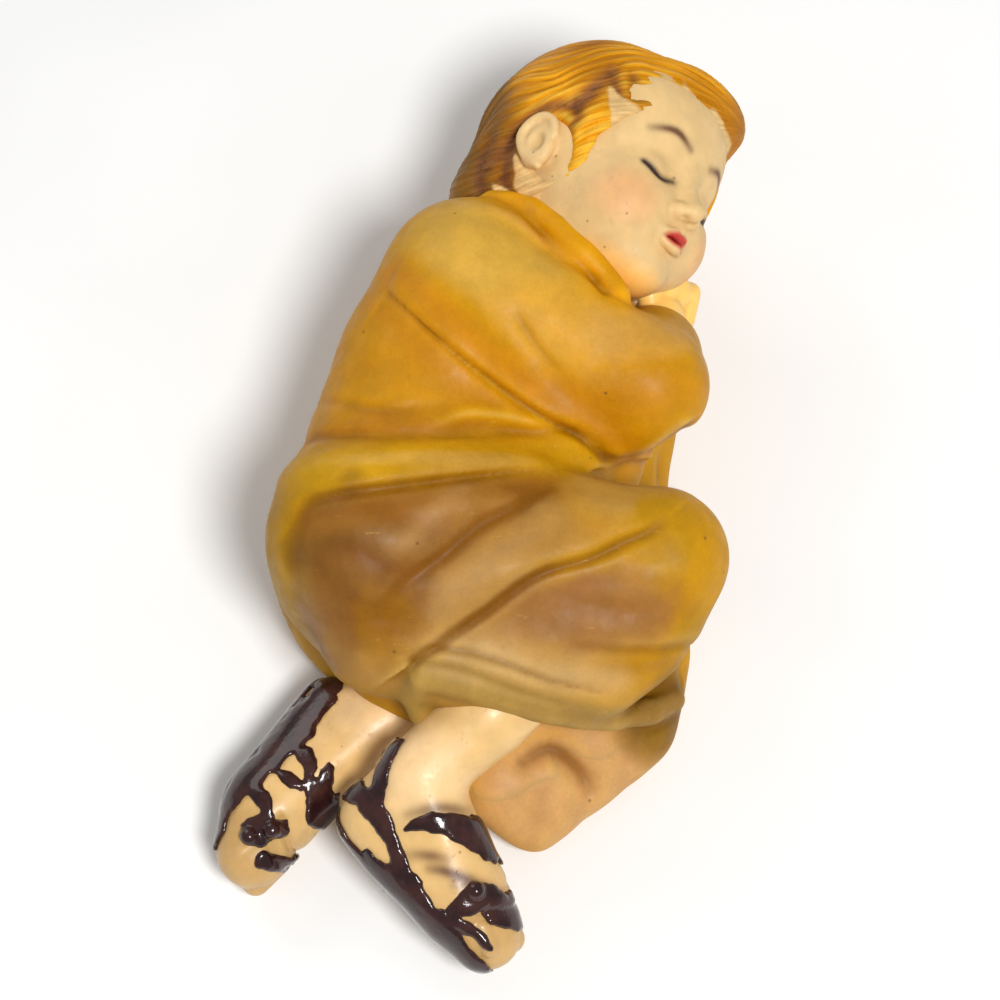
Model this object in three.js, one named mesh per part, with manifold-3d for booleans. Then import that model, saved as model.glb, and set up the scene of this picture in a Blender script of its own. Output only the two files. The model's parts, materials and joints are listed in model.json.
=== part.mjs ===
// Bubbling ornament: a hollow cast figure of a sleeping child, lying on its left side with the knees drawn up
// and both hands under the cheek. An airline plugs into a socket low in the back, and the bubbles leave through
// a port in the fold between the folded arms and the knees. An oval hatch in the floor gives access.
// Millimetres, +X towards the head, -Y towards the face and knees, +Z up.
import * as THREE from "three";
import { ConvexGeometry } from "three/addons/geometries/ConvexGeometry.js";
import { mergeVertices } from "three/addons/utils/BufferGeometryUtils.js";
import Module from "manifold-3d";

// ---- Driving dimensions ----
const WALL = 3; // thickness of the cast resin
const GAP = 0.3; // clearance between pieces that touch
const PAD = { radius: 2.8, height: 1, socket: 1 }; // rubber pads: what shows below, what is sunk into the floor
const PARTING_Z = 11; // height of the parting plane between the two tunic shells
const FLOOR_TOP = PAD.height + 4; // top of the lower shell's floor
const HATCH = { x: -5.5, y: 8, a: 10.5, b: 5.6, turn: -20 }; // oval opening: centre, half axes, turn in degrees
const PLATE = { a: 16.6, b: 7.8, bottom: PAD.height + 0.2, top: PAD.height + 1.7 };
const SEAL_TOP = PLATE.top + 0.6;
const BOLT = { reach: 13.4, head: 1.7, headHeight: 0.6, shank: 0.85, length: 6.2, point: 0.6 };
const BOSS = { pilot: 1.15, radius: 2.3, top: 9.6, skin: 1 }; // the posts that the bolts screw into
const COUNTERSINK = 0.9; // how deep a bolt's head is let into the plate
const BOLT_INSET = 0.1; // how far the head stays inside the plate's face
const SLOT = { half: 0.2, depth: 0.3 }; // the screwdriver slot
const SEAL_SQUEEZE = 0.05; // clearance over and under the seal
const AIR = { x: -9.5, z: PARTING_Z }; // the air path runs along Y through the parting plane
const SOCKET = { bore: 3.6, outer: 4.4, mouth: 40, face: 9, inside: 7 };
const BARB = { bore: 0.9, stem: 1.7, ridge: 2.3, pitch: 2, flange: 1, tip: 15.5, nipple: 3 };
const AIRLINE = { bore: 2, outer: 2.9, from: 6.7, to: -1.3 };
const HOLDER = { nipple: 1.6, back: -1.6, front: -4.2 };
const STONE = { radius: 2.6, from: -10.5, to: -4.5 };
const PORT = { bore: 3.1, outer: 4, mouth: -30, inside: -4.5 };
const BALLAST = { inset: 1.2, top: 6.2 }; // a slug glued on the hatch plate, inside the opening
const STRAP = 1.1; // how far a sandal stands off the foot
const SOLE = 0.45; // where the sole starts, as a part of the foot's radius
const FINGER = 1.5; // radius of a finger
const FAR = 90; // larger than the figure

// ---- The figure as balls: [x, y, z, radius]. A mass is the convex hull of its balls. ----
const SHOULDERS = [[17.2, 0.8, 30, 10], [18, 0, 7, 9.4]];
const CHEST = [[6, 4, 28, 11.8], [6, 3, 6.5, 11.4]];
const WAIST = [[-4, 8, 27, 11.3], [-4, 8, 6.5, 11]];
const PELVIS = [[-17, 12, 29, 12.6], [-16, 12, 6.5, 12]];
const COLLAR = [[23, -5, 25, 8], [22, -9, 18, 7.5]];
const SLEEVE_RIGHT = [[15, 1, 32.5, 9.2], [3, -21.6, 30, 7.2]];
const CUFF_RIGHT = [[3, -21.6, 30, 7.2], [10, -22.5, 24, 6.4]];
const SLEEVE_LEFT = [[19, -4, 9, 8], [-1, -18, 5.5, 7]];
const CUFF_LEFT = [[-1, -18, 5.5, 7], [11, -21, 8, 6.2]];
const LAP = [[2, -16.5, 25, 7.5], [-2, -14, 16, 7.5]];
const SKIRT = [[-18.5, -22.5, 27, 8.4], [-26, 10.5, 25, 9], [-30, -2, 24, 7.6], [-31, -14, 21, 6.5],
  [-26, -20, 22, 7]];
const THIGHS = [PELVIS[0], [-18.5, -22.5, 27, 8.4], PELVIS[1], [-21, -18, 6.5, 8.4], [-28, 5, 8, 8]];
const DRAPE = [[-24, -19.3, 7, 8.4], [-33, -19.6, 6.5, 6.2], [-45.8, -7.5, 4.4, 3.6], [-42, -2, 8, 4],
  [-34, 3, 8, 5]];
const TRUNK = [
  [...SHOULDERS, ...CHEST],
  [...CHEST, ...WAIST],
  [...WAIST, ...PELVIS],
  [...CHEST, ...WAIST, ...LAP],
];
const TUNIC = [
  ...TRUNK,
  [...SHOULDERS, ...COLLAR],
  [SLEEVE_RIGHT[0], SLEEVE_LEFT[0], ...CHEST, COLLAR[1]],
  SLEEVE_RIGHT,
  CUFF_RIGHT,
  SLEEVE_LEFT,
  CUFF_LEFT,
  SKIRT,
  DRAPE,
  THIGHS,
];
const NECK = [[24.5, -8, 26, 6], [15, -4, 23, 5.4]];
const FOOT_RIGHT = {
  ankle: [-43.5, 6.5, 18.5, 4.6],
  heel: [-47.5, 11.6, 14.5, 4.2],
  ball: [-56.5, 1.2, 11.5, 5.3],
  toe: [-61, -1.8, 9.8, 4.2],
};
const FOOT_LEFT = {
  ankle: [-33, 11, 9.5, 4.3],
  heel: [-32, 17.5, 7.5, 4],
  ball: [-44.5, 24.8, 7.8, 5.5],
  toe: [-50, 27.2, 7.4, 4.5],
};
const CALF_RIGHT = [[-26, -13, 21.5, 5.2], [-36, -2, 21, 5.4], FOOT_RIGHT.ankle];
const CALF_LEFT = [[-27, -3, 10, 4.6], [-31, 5, 10, 4.6], FOOT_LEFT.ankle];
const WRIST_RIGHT = [[9, -22.2, 24, 4], [15.5, -22, 19.5, 3.4]];
const WRIST_LEFT = [[10, -20.6, 8.5, 4], [18, -21.5, 8.5, 3.4]];
// Where a hand's fingers start, the step from one to the next, and the two bones of each.
const HAND_RIGHT = {
  root: [18, -22.6, 18],
  spread: [0.3, 1.7, 1.5],
  reach: [2.6, 0.2, -0.6],
  curl: [-1.4, 2.4, 0.9],
};
const HAND_LEFT = {
  root: [21, -20, 8],
  spread: [-0.8, 1.5, 1.5],
  reach: [3.6, 1.8, -0.4],
  curl: [2, 1.8, 0],
};
const SOLE_RIGHT = new THREE.Vector3(-0.5, 0.66, -0.5); // which way each sole faces
const SOLE_LEFT = new THREE.Vector3(0.5, 0.72, -0.3);
const PAD_PLACES = [[-23, -18], [-20.5, 18.3], [19, -0.5], [-1, -17.5]];

// ---- From three.js geometry to a solid, and back ----
const wasm = await Module();
wasm.setup();
const { Manifold, Mesh: SolidMesh } = wasm;

function solid(geometry, tolerance = 1e-4) {
  const bare = geometry.index ? geometry.toNonIndexed() : geometry.clone();
  bare.deleteAttribute("normal");
  bare.deleteAttribute("uv");
  const merged = mergeVertices(bare, tolerance);
  return new Manifold(new SolidMesh({
    numProp: 3,
    vertProperties: merged.attributes.position.array,
    triVerts: new Uint32Array(merged.index.array),
  }));
}

function geometryOf(made) {
  const { vertProperties, triVerts } = made.getMesh();
  const geometry = new THREE.BufferGeometry();
  geometry.setAttribute("position", new THREE.BufferAttribute(new Float32Array(vertProperties), 3));
  geometry.setIndex(new THREE.BufferAttribute(new Uint32Array(triVerts), 1));
  const flat = geometry.toNonIndexed();
  flat.computeVertexNormals();
  return flat;
}

const join = (solids) => solids.reduce((whole, piece) => whole.add(piece));
const cutAll = (whole, cuts) => cuts.reduce((made, cut) => made.subtract(cut), whole);
const largest = (made) => made.decompose().reduce((a, b) => (a.volume() > b.volume() ? a : b));
// Rounding to a thousandth of a millimetre leaves slivers behind, which are dropped here.
const clean = (made) => largest(solid(geometryOf(largest(made)), 1e-3));

// ---- Shapes ----
function hull(balls, grow = 0, detail = 2) {
  const points = balls.flatMap(([x, y, z, radius]) => {
    const ball = new THREE.IcosahedronGeometry(radius + grow, detail).translate(x, y, z).attributes.position;
    return Array.from({ length: ball.count }, (_, i) => new THREE.Vector3().fromBufferAttribute(ball, i));
  });
  return solid(new ConvexGeometry(points));
}

const masses = (list, grow = 0, detail = 2) => join(list.map((balls) => hull(balls, grow, detail)));

function chain(balls, grow = 0, detail = 2) {
  return masses(balls.slice(1).map((ball, i) => [balls[i], ball]), grow, detail);
}

function block([x0, y0, z0], [x1, y1, z1]) {
  const box = new THREE.BoxGeometry(x1 - x0, y1 - y0, z1 - z0);
  return solid(box.translate((x0 + x1) / 2, (y0 + y1) / 2, (z0 + z1) / 2));
}

const layer = (low, high) => block([-FAR, -FAR, low], [FAR, FAR, high]);

// A turned piece standing on the origin, from a closed profile of [radius, height] that runs outwards along its
// lower side and back along its upper side.
function turned(profile, segments = 16) {
  const points = [...profile, profile[0]].map(([radius, height]) => new THREE.Vector2(radius, height));
  return new THREE.LatheGeometry(points, segments).rotateX(Math.PI / 2);
}

const upright = (profile, [x, y], segments) => solid(turned(profile, segments).translate(x, y, 0));
const alongAir = (profile) => solid(turned(profile, 20).rotateX(-Math.PI / 2).translate(AIR.x, 0, AIR.z));
const ring = (inner, outer, low, high) => [[inner, low], [outer, low], [outer, high], [inner, high]];
const disc = (radius, low, high) => ring(0, radius, low, high);

// ---- The hatch: an oval plate, its seal and two screws ----
const hatchTurn = THREE.MathUtils.degToRad(HATCH.turn);
const boltPlaces = [-1, 1].map((end) => [
  HATCH.x + end * BOLT.reach * Math.cos(hatchTurn),
  HATCH.y + end * BOLT.reach * Math.sin(hatchTurn),
]);

function oval(a, b, low, high) {
  const outline = new THREE.Shape().absellipse(HATCH.x, HATCH.y, a, b, 0, Math.PI * 2, false, hatchTurn);
  const plate = new THREE.ExtrudeGeometry(outline, { depth: high - low, bevelEnabled: false, curveSegments: 14 });
  return solid(plate.translate(0, 0, low));
}

function boltHole(place) {
  const sink = PLATE.bottom + COUNTERSINK;
  const head = BOLT.head + GAP;
  const hole = BOLT.shank + GAP;
  return upright([[0, 0], [head, 0], [head, sink], [hole, sink], [hole, FAR], [0, FAR]], place);
}

function hatchPlate() {
  return cutAll(oval(PLATE.a - GAP, PLATE.b - GAP, PLATE.bottom, PLATE.top), boltPlaces.map(boltHole));
}

function hatchSeal() {
  const low = PLATE.top + SEAL_SQUEEZE;
  const whole = oval(PLATE.a - GAP, PLATE.b - GAP, low, SEAL_TOP - SEAL_SQUEEZE);
  return cutAll(whole, [oval(HATCH.a + GAP, HATCH.b + GAP, 0, FAR), ...boltPlaces.map(boltHole)]);
}

function bolt() {
  const low = PLATE.bottom + BOLT_INSET;
  const under = low + BOLT.headHeight;
  const end = low + BOLT.length;
  const { head, shank, point } = BOLT;
  const profile = [[0, low], [head, low], [head, under], [shank, under], [shank, end], [0, end + point]];
  return upright(profile, [0, 0]).subtract(block([-FAR, -SLOT.half, 0], [FAR, SLOT.half, low + SLOT.depth]));
}

// ---- Head and hair, in the head's own directions: left, up to the crown, and forward out of the face ----
const HEAD = { centre: [33, -17, 27], size: 1.18, bow: 16, turn: 35 }; // bowed to the chest, turned upwards
const bow = THREE.MathUtils.degToRad(HEAD.bow);
const headUp = new THREE.Vector3(Math.cos(bow), -Math.sin(bow), 0);
const facing = new THREE.Vector3(-Math.sin(bow), -Math.cos(bow), 0);
facing.applyAxisAngle(headUp, -THREE.MathUtils.degToRad(HEAD.turn));
const headLeft = new THREE.Vector3().crossVectors(headUp, facing);
const headFrame = new THREE.Matrix4().makeBasis(headLeft, headUp, facing).setPosition(...HEAD.centre);

function onHead(place, halfAxes, grow = 0, detail = 2) {
  const shape = new THREE.IcosahedronGeometry(1, detail).scale(...halfAxes.map((a) => a * HEAD.size + grow));
  return solid(shape.translate(...place.map((v) => v * HEAD.size)).applyMatrix4(headFrame));
}

function headSolid(grow = 0) {
  const skull = onHead([0, 1.5, -1], [11.2, 12.4, 12.6], grow, 3);
  const jaw = onHead([0, -6.4, 3.4], [8.6, 7.6, 8.2], grow);
  const nose = onHead([0, -3.4, 12], [1.7, 2.2, 1.7], grow, 1);
  const ears = [-1, 1].map((side) => onHead([side * 11, -2.5, -1], [1.3, 3.2, 2.2], grow, 1));
  return join([skull, jaw, nose, ...ears, hull(NECK, grow, 1)]);
}

function hairSolid() {
  const cap = onHead([0, 2.6, -2.1], [12.8, 13.4, 14.2], 0, 3);
  const nape = onHead([-1.5, -5, -10], [9, 6.6, 6]);
  const forelock = onHead([2.5, 9.6, 8], [6.5, 3.4, 4.2]);
  const face = onHead([0, -6, 11.5], [14, 12.4, 11.2], 0, 3);
  const ears = [-1, 1].map((side) => onHead([side * 13, -4.6, -0.4], [5, 5.4, 3.6], 0, 1));
  const whole = cutAll(join([cap, nape, forelock]), [face, ...ears]);
  return cutAll(whole, [headSolid(GAP), masses(TUNIC, GAP)]);
}

// ---- Hands, feet and sandals ----
// A wrist and four fingers side by side, each bending once at its knuckle.
function handSolid(wrist, { root, spread, reach, curl }) {
  const fingers = [-1.5, -0.5, 0.5, 1.5].map((n) => {
    const start = root.map((v, i) => v + spread[i] * n);
    const knuckle = start.map((v, i) => v + reach[i]);
    const tip = knuckle.map((v, i) => v + curl[i]);
    return chain([[...start, FINGER], [...knuckle, FINGER], [...tip, FINGER]], 0, 1);
  });
  return join([hull(wrist), ...fingers]).subtract(headSolid(GAP));
}

function footSolid({ ankle, heel, ball, toe }, grow = 0) {
  return masses([[ankle, heel, ball], [heel, ball], [ball, toe]], grow);
}

const legSolid = (calf, foot, grow = 0) => join([chain(calf, grow, 1), footSolid(foot, grow)]);

// The slice of space between two distances from a point, along a direction.
function slice([x, y, z], direction, from, to) {
  const box = new THREE.BoxGeometry(FAR, FAR, to - from).translate(0, 0, (from + to) / 2);
  const along = direction.clone().normalize();
  box.applyQuaternion(new THREE.Quaternion().setFromUnitVectors(new THREE.Vector3(0, 0, 1), along));
  return solid(box.translate(x, y, z));
}

// A sole, a heel strap and two toe straps, cut from the foot grown by the strap's height.
function sandalSolid(calf, foot, soleNormal) {
  const along = new THREE.Vector3(...foot.toe).sub(new THREE.Vector3(...foot.heel));
  const length = along.length();
  const sole = slice(foot.ball, soleNormal, foot.ball[3] * SOLE, FAR);
  const bands = [[-0.6, 0.08], [0.4, 0.55], [0.74, 0.9]].map(([from, to]) => (
    slice(foot.heel, along, from * length, to * length)));
  return footSolid(foot, STRAP).intersect(join([sole, ...bands])).subtract(legSolid(calf, foot, GAP));
}

// ---- The tunic: its outer form, less the cavity and less everything that plugs into it ----
const outerForm = masses(TUNIC).intersect(layer(PAD.height, FAR));

function tunicShells() {
  const cavity = masses(TRUNK, -WALL, 1).intersect(layer(FLOOR_TOP, FAR));
  const bosses = boltPlaces.map((place) => upright(disc(BOSS.radius, FLOOR_TOP - BOSS.skin, BOSS.top), place));
  const pilots = boltPlaces.map((place) => upright(disc(BOSS.pilot, 0, BOSS.top - BOSS.skin), place, 12));
  const hollow = outerForm.subtract(cavity).add(join(bosses));
  const padTop = PAD.height + PAD.socket + GAP;
  const padSockets = PAD_PLACES.map((place) => upright(disc(PAD.radius + GAP, 0, padTop), place));
  const whole = cutAll(hollow, [
    headSolid(GAP),
    legSolid(CALF_RIGHT, FOOT_RIGHT, STRAP + GAP),
    legSolid(CALF_LEFT, FOOT_LEFT, STRAP + GAP),
    hull(WRIST_RIGHT, GAP),
    hull(WRIST_LEFT, GAP),
    oval(HATCH.a, HATCH.b, 0, FLOOR_TOP + 1),
    oval(PLATE.a, PLATE.b, 0, SEAL_TOP),
    alongAir(disc(SOCKET.outer + GAP, SOCKET.inside - 1, SOCKET.mouth)),
    alongAir(disc(PORT.outer + GAP, PORT.mouth, SOCKET.inside)),
    ...pilots,
    ...padSockets,
  ]);
  return [whole.intersect(layer(PARTING_Z + GAP / 2, FAR)), whole.intersect(layer(0, PARTING_Z - GAP / 2))];
}

// ---- The air path, from the back to the fold ----
function airlineSocket() {
  const { bore, outer, mouth, face, inside } = SOCKET;
  const hole = BARB.stem + GAP;
  const profile = [[hole, inside], [outer, inside], [outer, mouth], [bore, mouth], [bore, face], [hole, face]];
  return alongAir(profile).intersect(outerForm);
}

function inletBarb() {
  const { bore, stem, ridge, pitch, tip, nipple } = BARB;
  const flange = SOCKET.face + GAP;
  const rim = SOCKET.bore - GAP;
  const face = flange + BARB.flange;
  return alongAir([
    [bore, nipple],
    [stem, nipple],
    [stem, flange],
    [rim, flange],
    [rim, face],
    [stem, face],
    [stem, tip - 2 * pitch],
    [ridge, tip - 2 * pitch],
    [stem, tip - pitch],
    [ridge, tip - pitch],
    [stem, tip],
    [bore, tip],
  ]);
}

function stoneHolder() {
  const { nipple, back, front } = HOLDER;
  const profile = [[BARB.bore, front], [PORT.outer, front], [PORT.outer, back], [BARB.stem, back],
    [BARB.stem, nipple], [BARB.bore, nipple]];
  return alongAir(profile);
}

// ---- The assembly ----
const SKIN = 0xefcf92;
const LEATHER = 0x2a1712;
const RUBBER = 0x2b2b2b;
const ornament = new THREE.Group();

function add(name, made, color, roughness = 0.5, metalness = 0) {
  const material = new THREE.MeshStandardMaterial({ color, roughness, metalness });
  const mesh = new THREE.Mesh(geometryOf(clean(made)), material);
  mesh.name = name;
  ornament.add(mesh);
  return mesh;
}

const [upperShell, lowerShell] = tunicShells();
add("tunic_upper_shell", upperShell, 0xc98a22, 0.35);
add("tunic_lower_shell", lowerShell, 0xb9842f, 0.35);
add("head", headSolid(), SKIN);
add("hair", hairSolid(), 0xc47f14);
add("right_hand", handSolid(WRIST_RIGHT, HAND_RIGHT), SKIN);
add("left_hand", handSolid(WRIST_LEFT, HAND_LEFT), SKIN);
add("right_leg", legSolid(CALF_RIGHT, FOOT_RIGHT), SKIN);
add("left_leg", legSolid(CALF_LEFT, FOOT_LEFT), SKIN);
add("right_sandal", sandalSolid(CALF_RIGHT, FOOT_RIGHT, SOLE_RIGHT), LEATHER);
add("left_sandal", sandalSolid(CALF_LEFT, FOOT_LEFT, SOLE_LEFT), LEATHER);
add("hatch_plate", hatchPlate(), 0x3b3a36);
add("hatch_seal", hatchSeal(), RUBBER, 0.9);
boltPlaces.forEach(([x, y], i) => add(`hatch_screw_${i + 1}`, bolt(), 0xb8bcc0, 0.3, 1).position.set(x, y, 0));
PAD_PLACES.forEach(([x, y], i) => {
  const shape = upright(disc(PAD.radius, 0, PAD.height + PAD.socket), [0, 0]);
  add(`rubber_pad_${i + 1}`, shape, RUBBER, 0.9).position.set(x, y, 0);
});
const slug = oval(HATCH.a - BALLAST.inset, HATCH.b - BALLAST.inset, PLATE.top + GAP, BALLAST.top);
add("ballast_slug", slug, 0x77797c, 0.6, 1);
add("airline_socket", airlineSocket(), 0x5a5346);
add("inlet_barb", inletBarb(), 0xd8d8d2);
add("inner_airline", alongAir(ring(AIRLINE.bore, AIRLINE.outer, AIRLINE.to, AIRLINE.from)), 0xcfd6d2, 0.2);
add("stone_holder", stoneHolder(), 0x30343a);
add("air_stone", alongAir(disc(STONE.radius, STONE.from, STONE.to)), 0x8f9aa6, 0.95);
const port = alongAir(ring(PORT.bore, PORT.outer, PORT.mouth, PORT.inside));
add("bubble_port", port.intersect(outerForm), 0x4a3a1c);

// The origin goes to the middle of the figure's plan, on the surface that it stands on.
const extent = new THREE.Box3().setFromObject(ornament);
const middle = extent.getCenter(new THREE.Vector3());
ornament.position.set(-middle.x, -middle.y, -extent.min.z);

export default ornament;
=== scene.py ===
"""Looks of the bubbling ornament: a small painted figure of a sleeping child in a tunic and sandals.

Each painted piece is sculpted as a block of distances to its surface, in millimetres: soft masses are
joined, folds and strands are drawn on them as strokes, and the surface is meshed and tinted. Node materials
add the brush marks, flakes and gloss.
"""
import json
import math

import bmesh
import bpy
import numpy as np
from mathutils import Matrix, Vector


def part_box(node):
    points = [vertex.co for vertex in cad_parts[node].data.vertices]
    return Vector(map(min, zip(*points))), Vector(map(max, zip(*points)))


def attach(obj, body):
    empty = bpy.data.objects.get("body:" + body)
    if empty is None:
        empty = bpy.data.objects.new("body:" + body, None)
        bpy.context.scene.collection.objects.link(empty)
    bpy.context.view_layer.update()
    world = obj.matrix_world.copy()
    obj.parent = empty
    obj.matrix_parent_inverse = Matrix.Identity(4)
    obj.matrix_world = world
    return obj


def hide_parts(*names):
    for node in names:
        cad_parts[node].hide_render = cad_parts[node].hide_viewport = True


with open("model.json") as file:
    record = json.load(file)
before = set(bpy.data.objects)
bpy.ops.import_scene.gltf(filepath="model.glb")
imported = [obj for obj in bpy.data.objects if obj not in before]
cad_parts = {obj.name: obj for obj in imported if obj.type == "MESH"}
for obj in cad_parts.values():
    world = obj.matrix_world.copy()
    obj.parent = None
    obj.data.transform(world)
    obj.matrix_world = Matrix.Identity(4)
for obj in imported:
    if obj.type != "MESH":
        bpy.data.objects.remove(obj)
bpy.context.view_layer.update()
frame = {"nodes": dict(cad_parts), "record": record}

import openvdb
from mathutils import Vector

MM = 0.001
FAR = 8.0  # distances are cut off here
SQUASH = 0.3  # the share of the distance along the direction it is drawn from that a stroke feels
NEAR = 3  # how far past a shape its blend is felt
HOLLOW_PASSES = 8  # blurs that a surface is compared with to find its grooves
CLOTH_STEP = 0.32  # sizes of the cubes that the pieces are sculpted in
HEAD_STEP = 0.2
HAND_STEP = 0.25
FOOT_STEP = 0.24
COARSE = 4  # how many of them lie across one cube of the first, coarse layout
VIEW = (-0.37, 0, 0.93)  # strokes are drawn from here unless they say otherwise

# ---- The figure in its modelling frame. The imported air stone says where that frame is. ----
AIR_STONE = np.array([-9.5, -7.5, 11.0])
OFFSET = np.array(sum(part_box("air_stone"), Vector()) / 2) / MM - AIR_STONE
PARTING_Z = 11.0
WALL = 3.0
PAD_HEIGHT = 1.0
FLOOR_TOP = 5.0
HATCH_TURN = -20  # degrees
PLATE_HALF = (16.6, 7.8)
HATCH_GAP = 0.6
FITTING_GAP = 1.0
CLOTH_LOW = (-53, -34, -2)
CLOTH_HIGH = (35, 30, 45)

# Masses of the figure: balls, each [x, y, z, radius], that hulls are drawn round.
SHOULDERS = [[17.2, 0.8, 30, 10], [18, 0, 7, 9.4]]
CHEST = [[6, 4, 28, 11.8], [6, 3, 6.5, 11.4]]
WAIST = [[-4, 8, 27, 11.3], [-4, 8, 6.5, 11]]
PELVIS = [[-17, 12, 29, 12.6], [-16, 12, 6.5, 12]]
COLLAR = [[23, -5, 25, 8], [22, -9, 18, 7.5]]
SLEEVE_RIGHT = [[15, 1, 32.5, 9.2], [3, -21.6, 30, 7.2]]
CUFF_RIGHT = [SLEEVE_RIGHT[1], [10, -22.5, 24, 6.4]]
SLEEVE_LEFT = [[19, -4, 9, 8], [-1, -18, 5.5, 7]]
CUFF_LEFT = [SLEEVE_LEFT[1], [11, -21, 8, 6.2]]
LAP = [[2, -16.5, 25, 7.5], [-2, -14, 16, 7.5]]
SKIRT = [[-18.5, -22.5, 27, 8.4], [-26, 10.5, 25, 9], [-30, -2, 24, 7.6], [-31, -14, 21, 6.5],
         [-26, -20, 22, 7]]
THIGHS = [PELVIS[0], SKIRT[0], PELVIS[1], [-21, -18, 6.5, 8.4], [-28, 5, 8, 8]]
DRAPE = [[-24, -19.3, 7, 8.4], [-33, -19.6, 6.5, 6.2], [-45.8, -7.5, 4.4, 3.6], [-42, -2, 8, 4],
         [-34, 3, 8, 5]]
TRUNK = [SHOULDERS + CHEST, CHEST + WAIST, WAIST + PELVIS, CHEST + WAIST + LAP]
NECK = [[24.5, -8, 26, 6], [15, -4, 23, 5.4]]

HEAD_CENTRE = np.array([33.0, -17.0, 27.0])
HEAD_SIZE = 1.18
HEAD_BOW = math.radians(16)
HEAD_TURN = math.radians(35)


# ---- Distances ----
def unit(v):
    v = np.asarray(v, float)
    return v / np.linalg.norm(v)


def spread_directions(count):
    """Directions spread evenly over the sphere, along a golden spiral."""
    i = np.arange(count) + 0.5
    polar = np.arccos(1 - 2 * i / count)
    turn = math.pi * (1 + math.sqrt(5)) * i
    spiral = [np.cos(turn) * np.sin(polar), np.sin(turn) * np.sin(polar), np.cos(polar)]
    return np.stack(spiral, 1).astype(np.float32)


DIRECTIONS = spread_directions(640)


def hull_distance(p, balls):
    """Distance to the convex hull of balls, each [x, y, z, radius]: the worst of its supporting planes."""
    balls = np.array(balls, np.float32)
    flat = p.reshape(-1, 3)
    reach = (DIRECTIONS @ balls[:, :3].T + balls[:, 3]).max(1)
    best = np.full(len(flat), -np.inf, np.float32)
    for some in np.array_split(np.arange(len(DIRECTIONS)), 16):
        np.maximum(best, (flat @ DIRECTIONS[some].T - reach[some]).max(1), out=best)
    return best.reshape(p.shape[:-1])


def chain_distance(p, balls):
    """Distance to a string of balls joined by cones."""
    balls = np.array(balls, np.float32)
    best = np.full(p.shape[:-1], np.inf, np.float32)
    for a, b in zip(balls, balls[1:]):
        along = b[:3] - a[:3]
        t = np.clip((p - a[:3]) @ along / (along @ along), 0, 1)
        gap = p - a[:3] - t[..., None] * along
        best = np.minimum(best, np.sqrt((gap * gap).sum(-1)) - a[3] - t * (b[3] - a[3]))
    return best


def ellipsoid_distance(p, centre, half):
    q = (p - np.array(centre, np.float32)) / np.array(half, np.float32)
    k0 = np.linalg.norm(q, axis=-1)
    k1 = np.linalg.norm(q / np.array(half, np.float32), axis=-1)
    return k0 * (k0 - 1) / np.maximum(k1, 1e-6)


def soft_min(a, b, blend):
    """The nearer of two surfaces, with a fillet where they meet."""
    h = np.maximum(blend - np.abs(a - b), 0) / blend
    return np.minimum(a, b) - h * h * blend / 4


def soft_max(a, b, blend):
    return -soft_min(-a, -b, blend)


def between_corners(lattice, cell, t):
    """A lattice's values at the fractions t across its cells. The lattice repeats past its edges."""
    total = 0
    for corner in np.ndindex(2, 2, 2):
        weight = np.prod([t[..., k] if corner[k] else 1 - t[..., k] for k in range(3)], axis=0)
        index = (cell + corner) % lattice.shape
        total = total + weight * lattice[index[..., 0], index[..., 1], index[..., 2]]
    return total


def lattice_noise(p, size, seed):
    """Smooth noise from -1 to 1, with lumps of the given size."""
    lattice = np.random.default_rng(seed).uniform(-1, 1, (32, 32, 32)).astype(np.float32)
    q = p / size + 1000  # keeps every place positive
    cell = np.floor(q).astype(int)
    t = q - cell
    return between_corners(lattice, cell, t * t * (3 - 2 * t))


# ---- Strokes: lines drawn on a surface, [x, y, z, strength] ----
def smooth_line(line, times=4):
    """Rounds a line's corners, as a Catmull-Rom curve through its points."""
    line = np.array(line, float)
    ends = np.vstack([2 * line[0] - line[1], line, 2 * line[-1] - line[-2]])
    points = []
    for i in range(len(line) - 1):
        a, b, c, d = ends[i:i + 4]
        for t in np.arange(times) / times:
            points.append((2 * b + (c - a) * t + (2 * a - 5 * b + 4 * c - d) * t * t
                           + (3 * b - a - 3 * c + d) * t ** 3) / 2)
    return np.array(points + [line[-1]])


def shifted(line, move, strength=None):
    """A line moved aside, with its own strengths or all of one strength."""
    dx, dy, dz = move
    return [[x + dx, y + dy, z + dz, w if strength is None else strength] for x, y, z, w in line]


def beside(p, line, facing=VIEW):
    """Where points lie by a line: its fourth number there, how far off it is, and which side (-1 or 1)."""
    facing = unit(facing)
    line = smooth_line(line)
    q = p - (1 - SQUASH) * (p @ facing)[..., None] * facing
    ends = line[:, :3] - (1 - SQUASH) * (line[:, :3] @ facing)[:, None] * facing
    nearest = np.full(p.shape[:-1], np.inf)
    fourth = np.zeros(p.shape[:-1])
    side = np.zeros(p.shape[:-1])
    for a, b, first, last in zip(ends, ends[1:], line[:, 3], line[1:, 3]):
        along = b - a
        t = np.clip((q - a) @ along / (along @ along), 0, 1)
        gap = q - a - t[..., None] * along
        square = (gap * gap).sum(-1)
        nearer = square < nearest
        nearest = np.where(nearer, square, nearest)
        fourth = np.where(nearer, first + t * (last - first), fourth)
        side = np.where(nearer, np.sign(gap @ np.cross(facing, along)), side)
    return fourth, np.sqrt(nearest), side


def stroke(p, line, width, facing=VIEW):
    """How strongly points feel a stroke, and how far to one side of it they lie, in widths."""
    strength, distance, side = beside(p, line, facing)
    return strength * np.exp(-(distance / width) ** 2), side * distance / width


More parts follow.
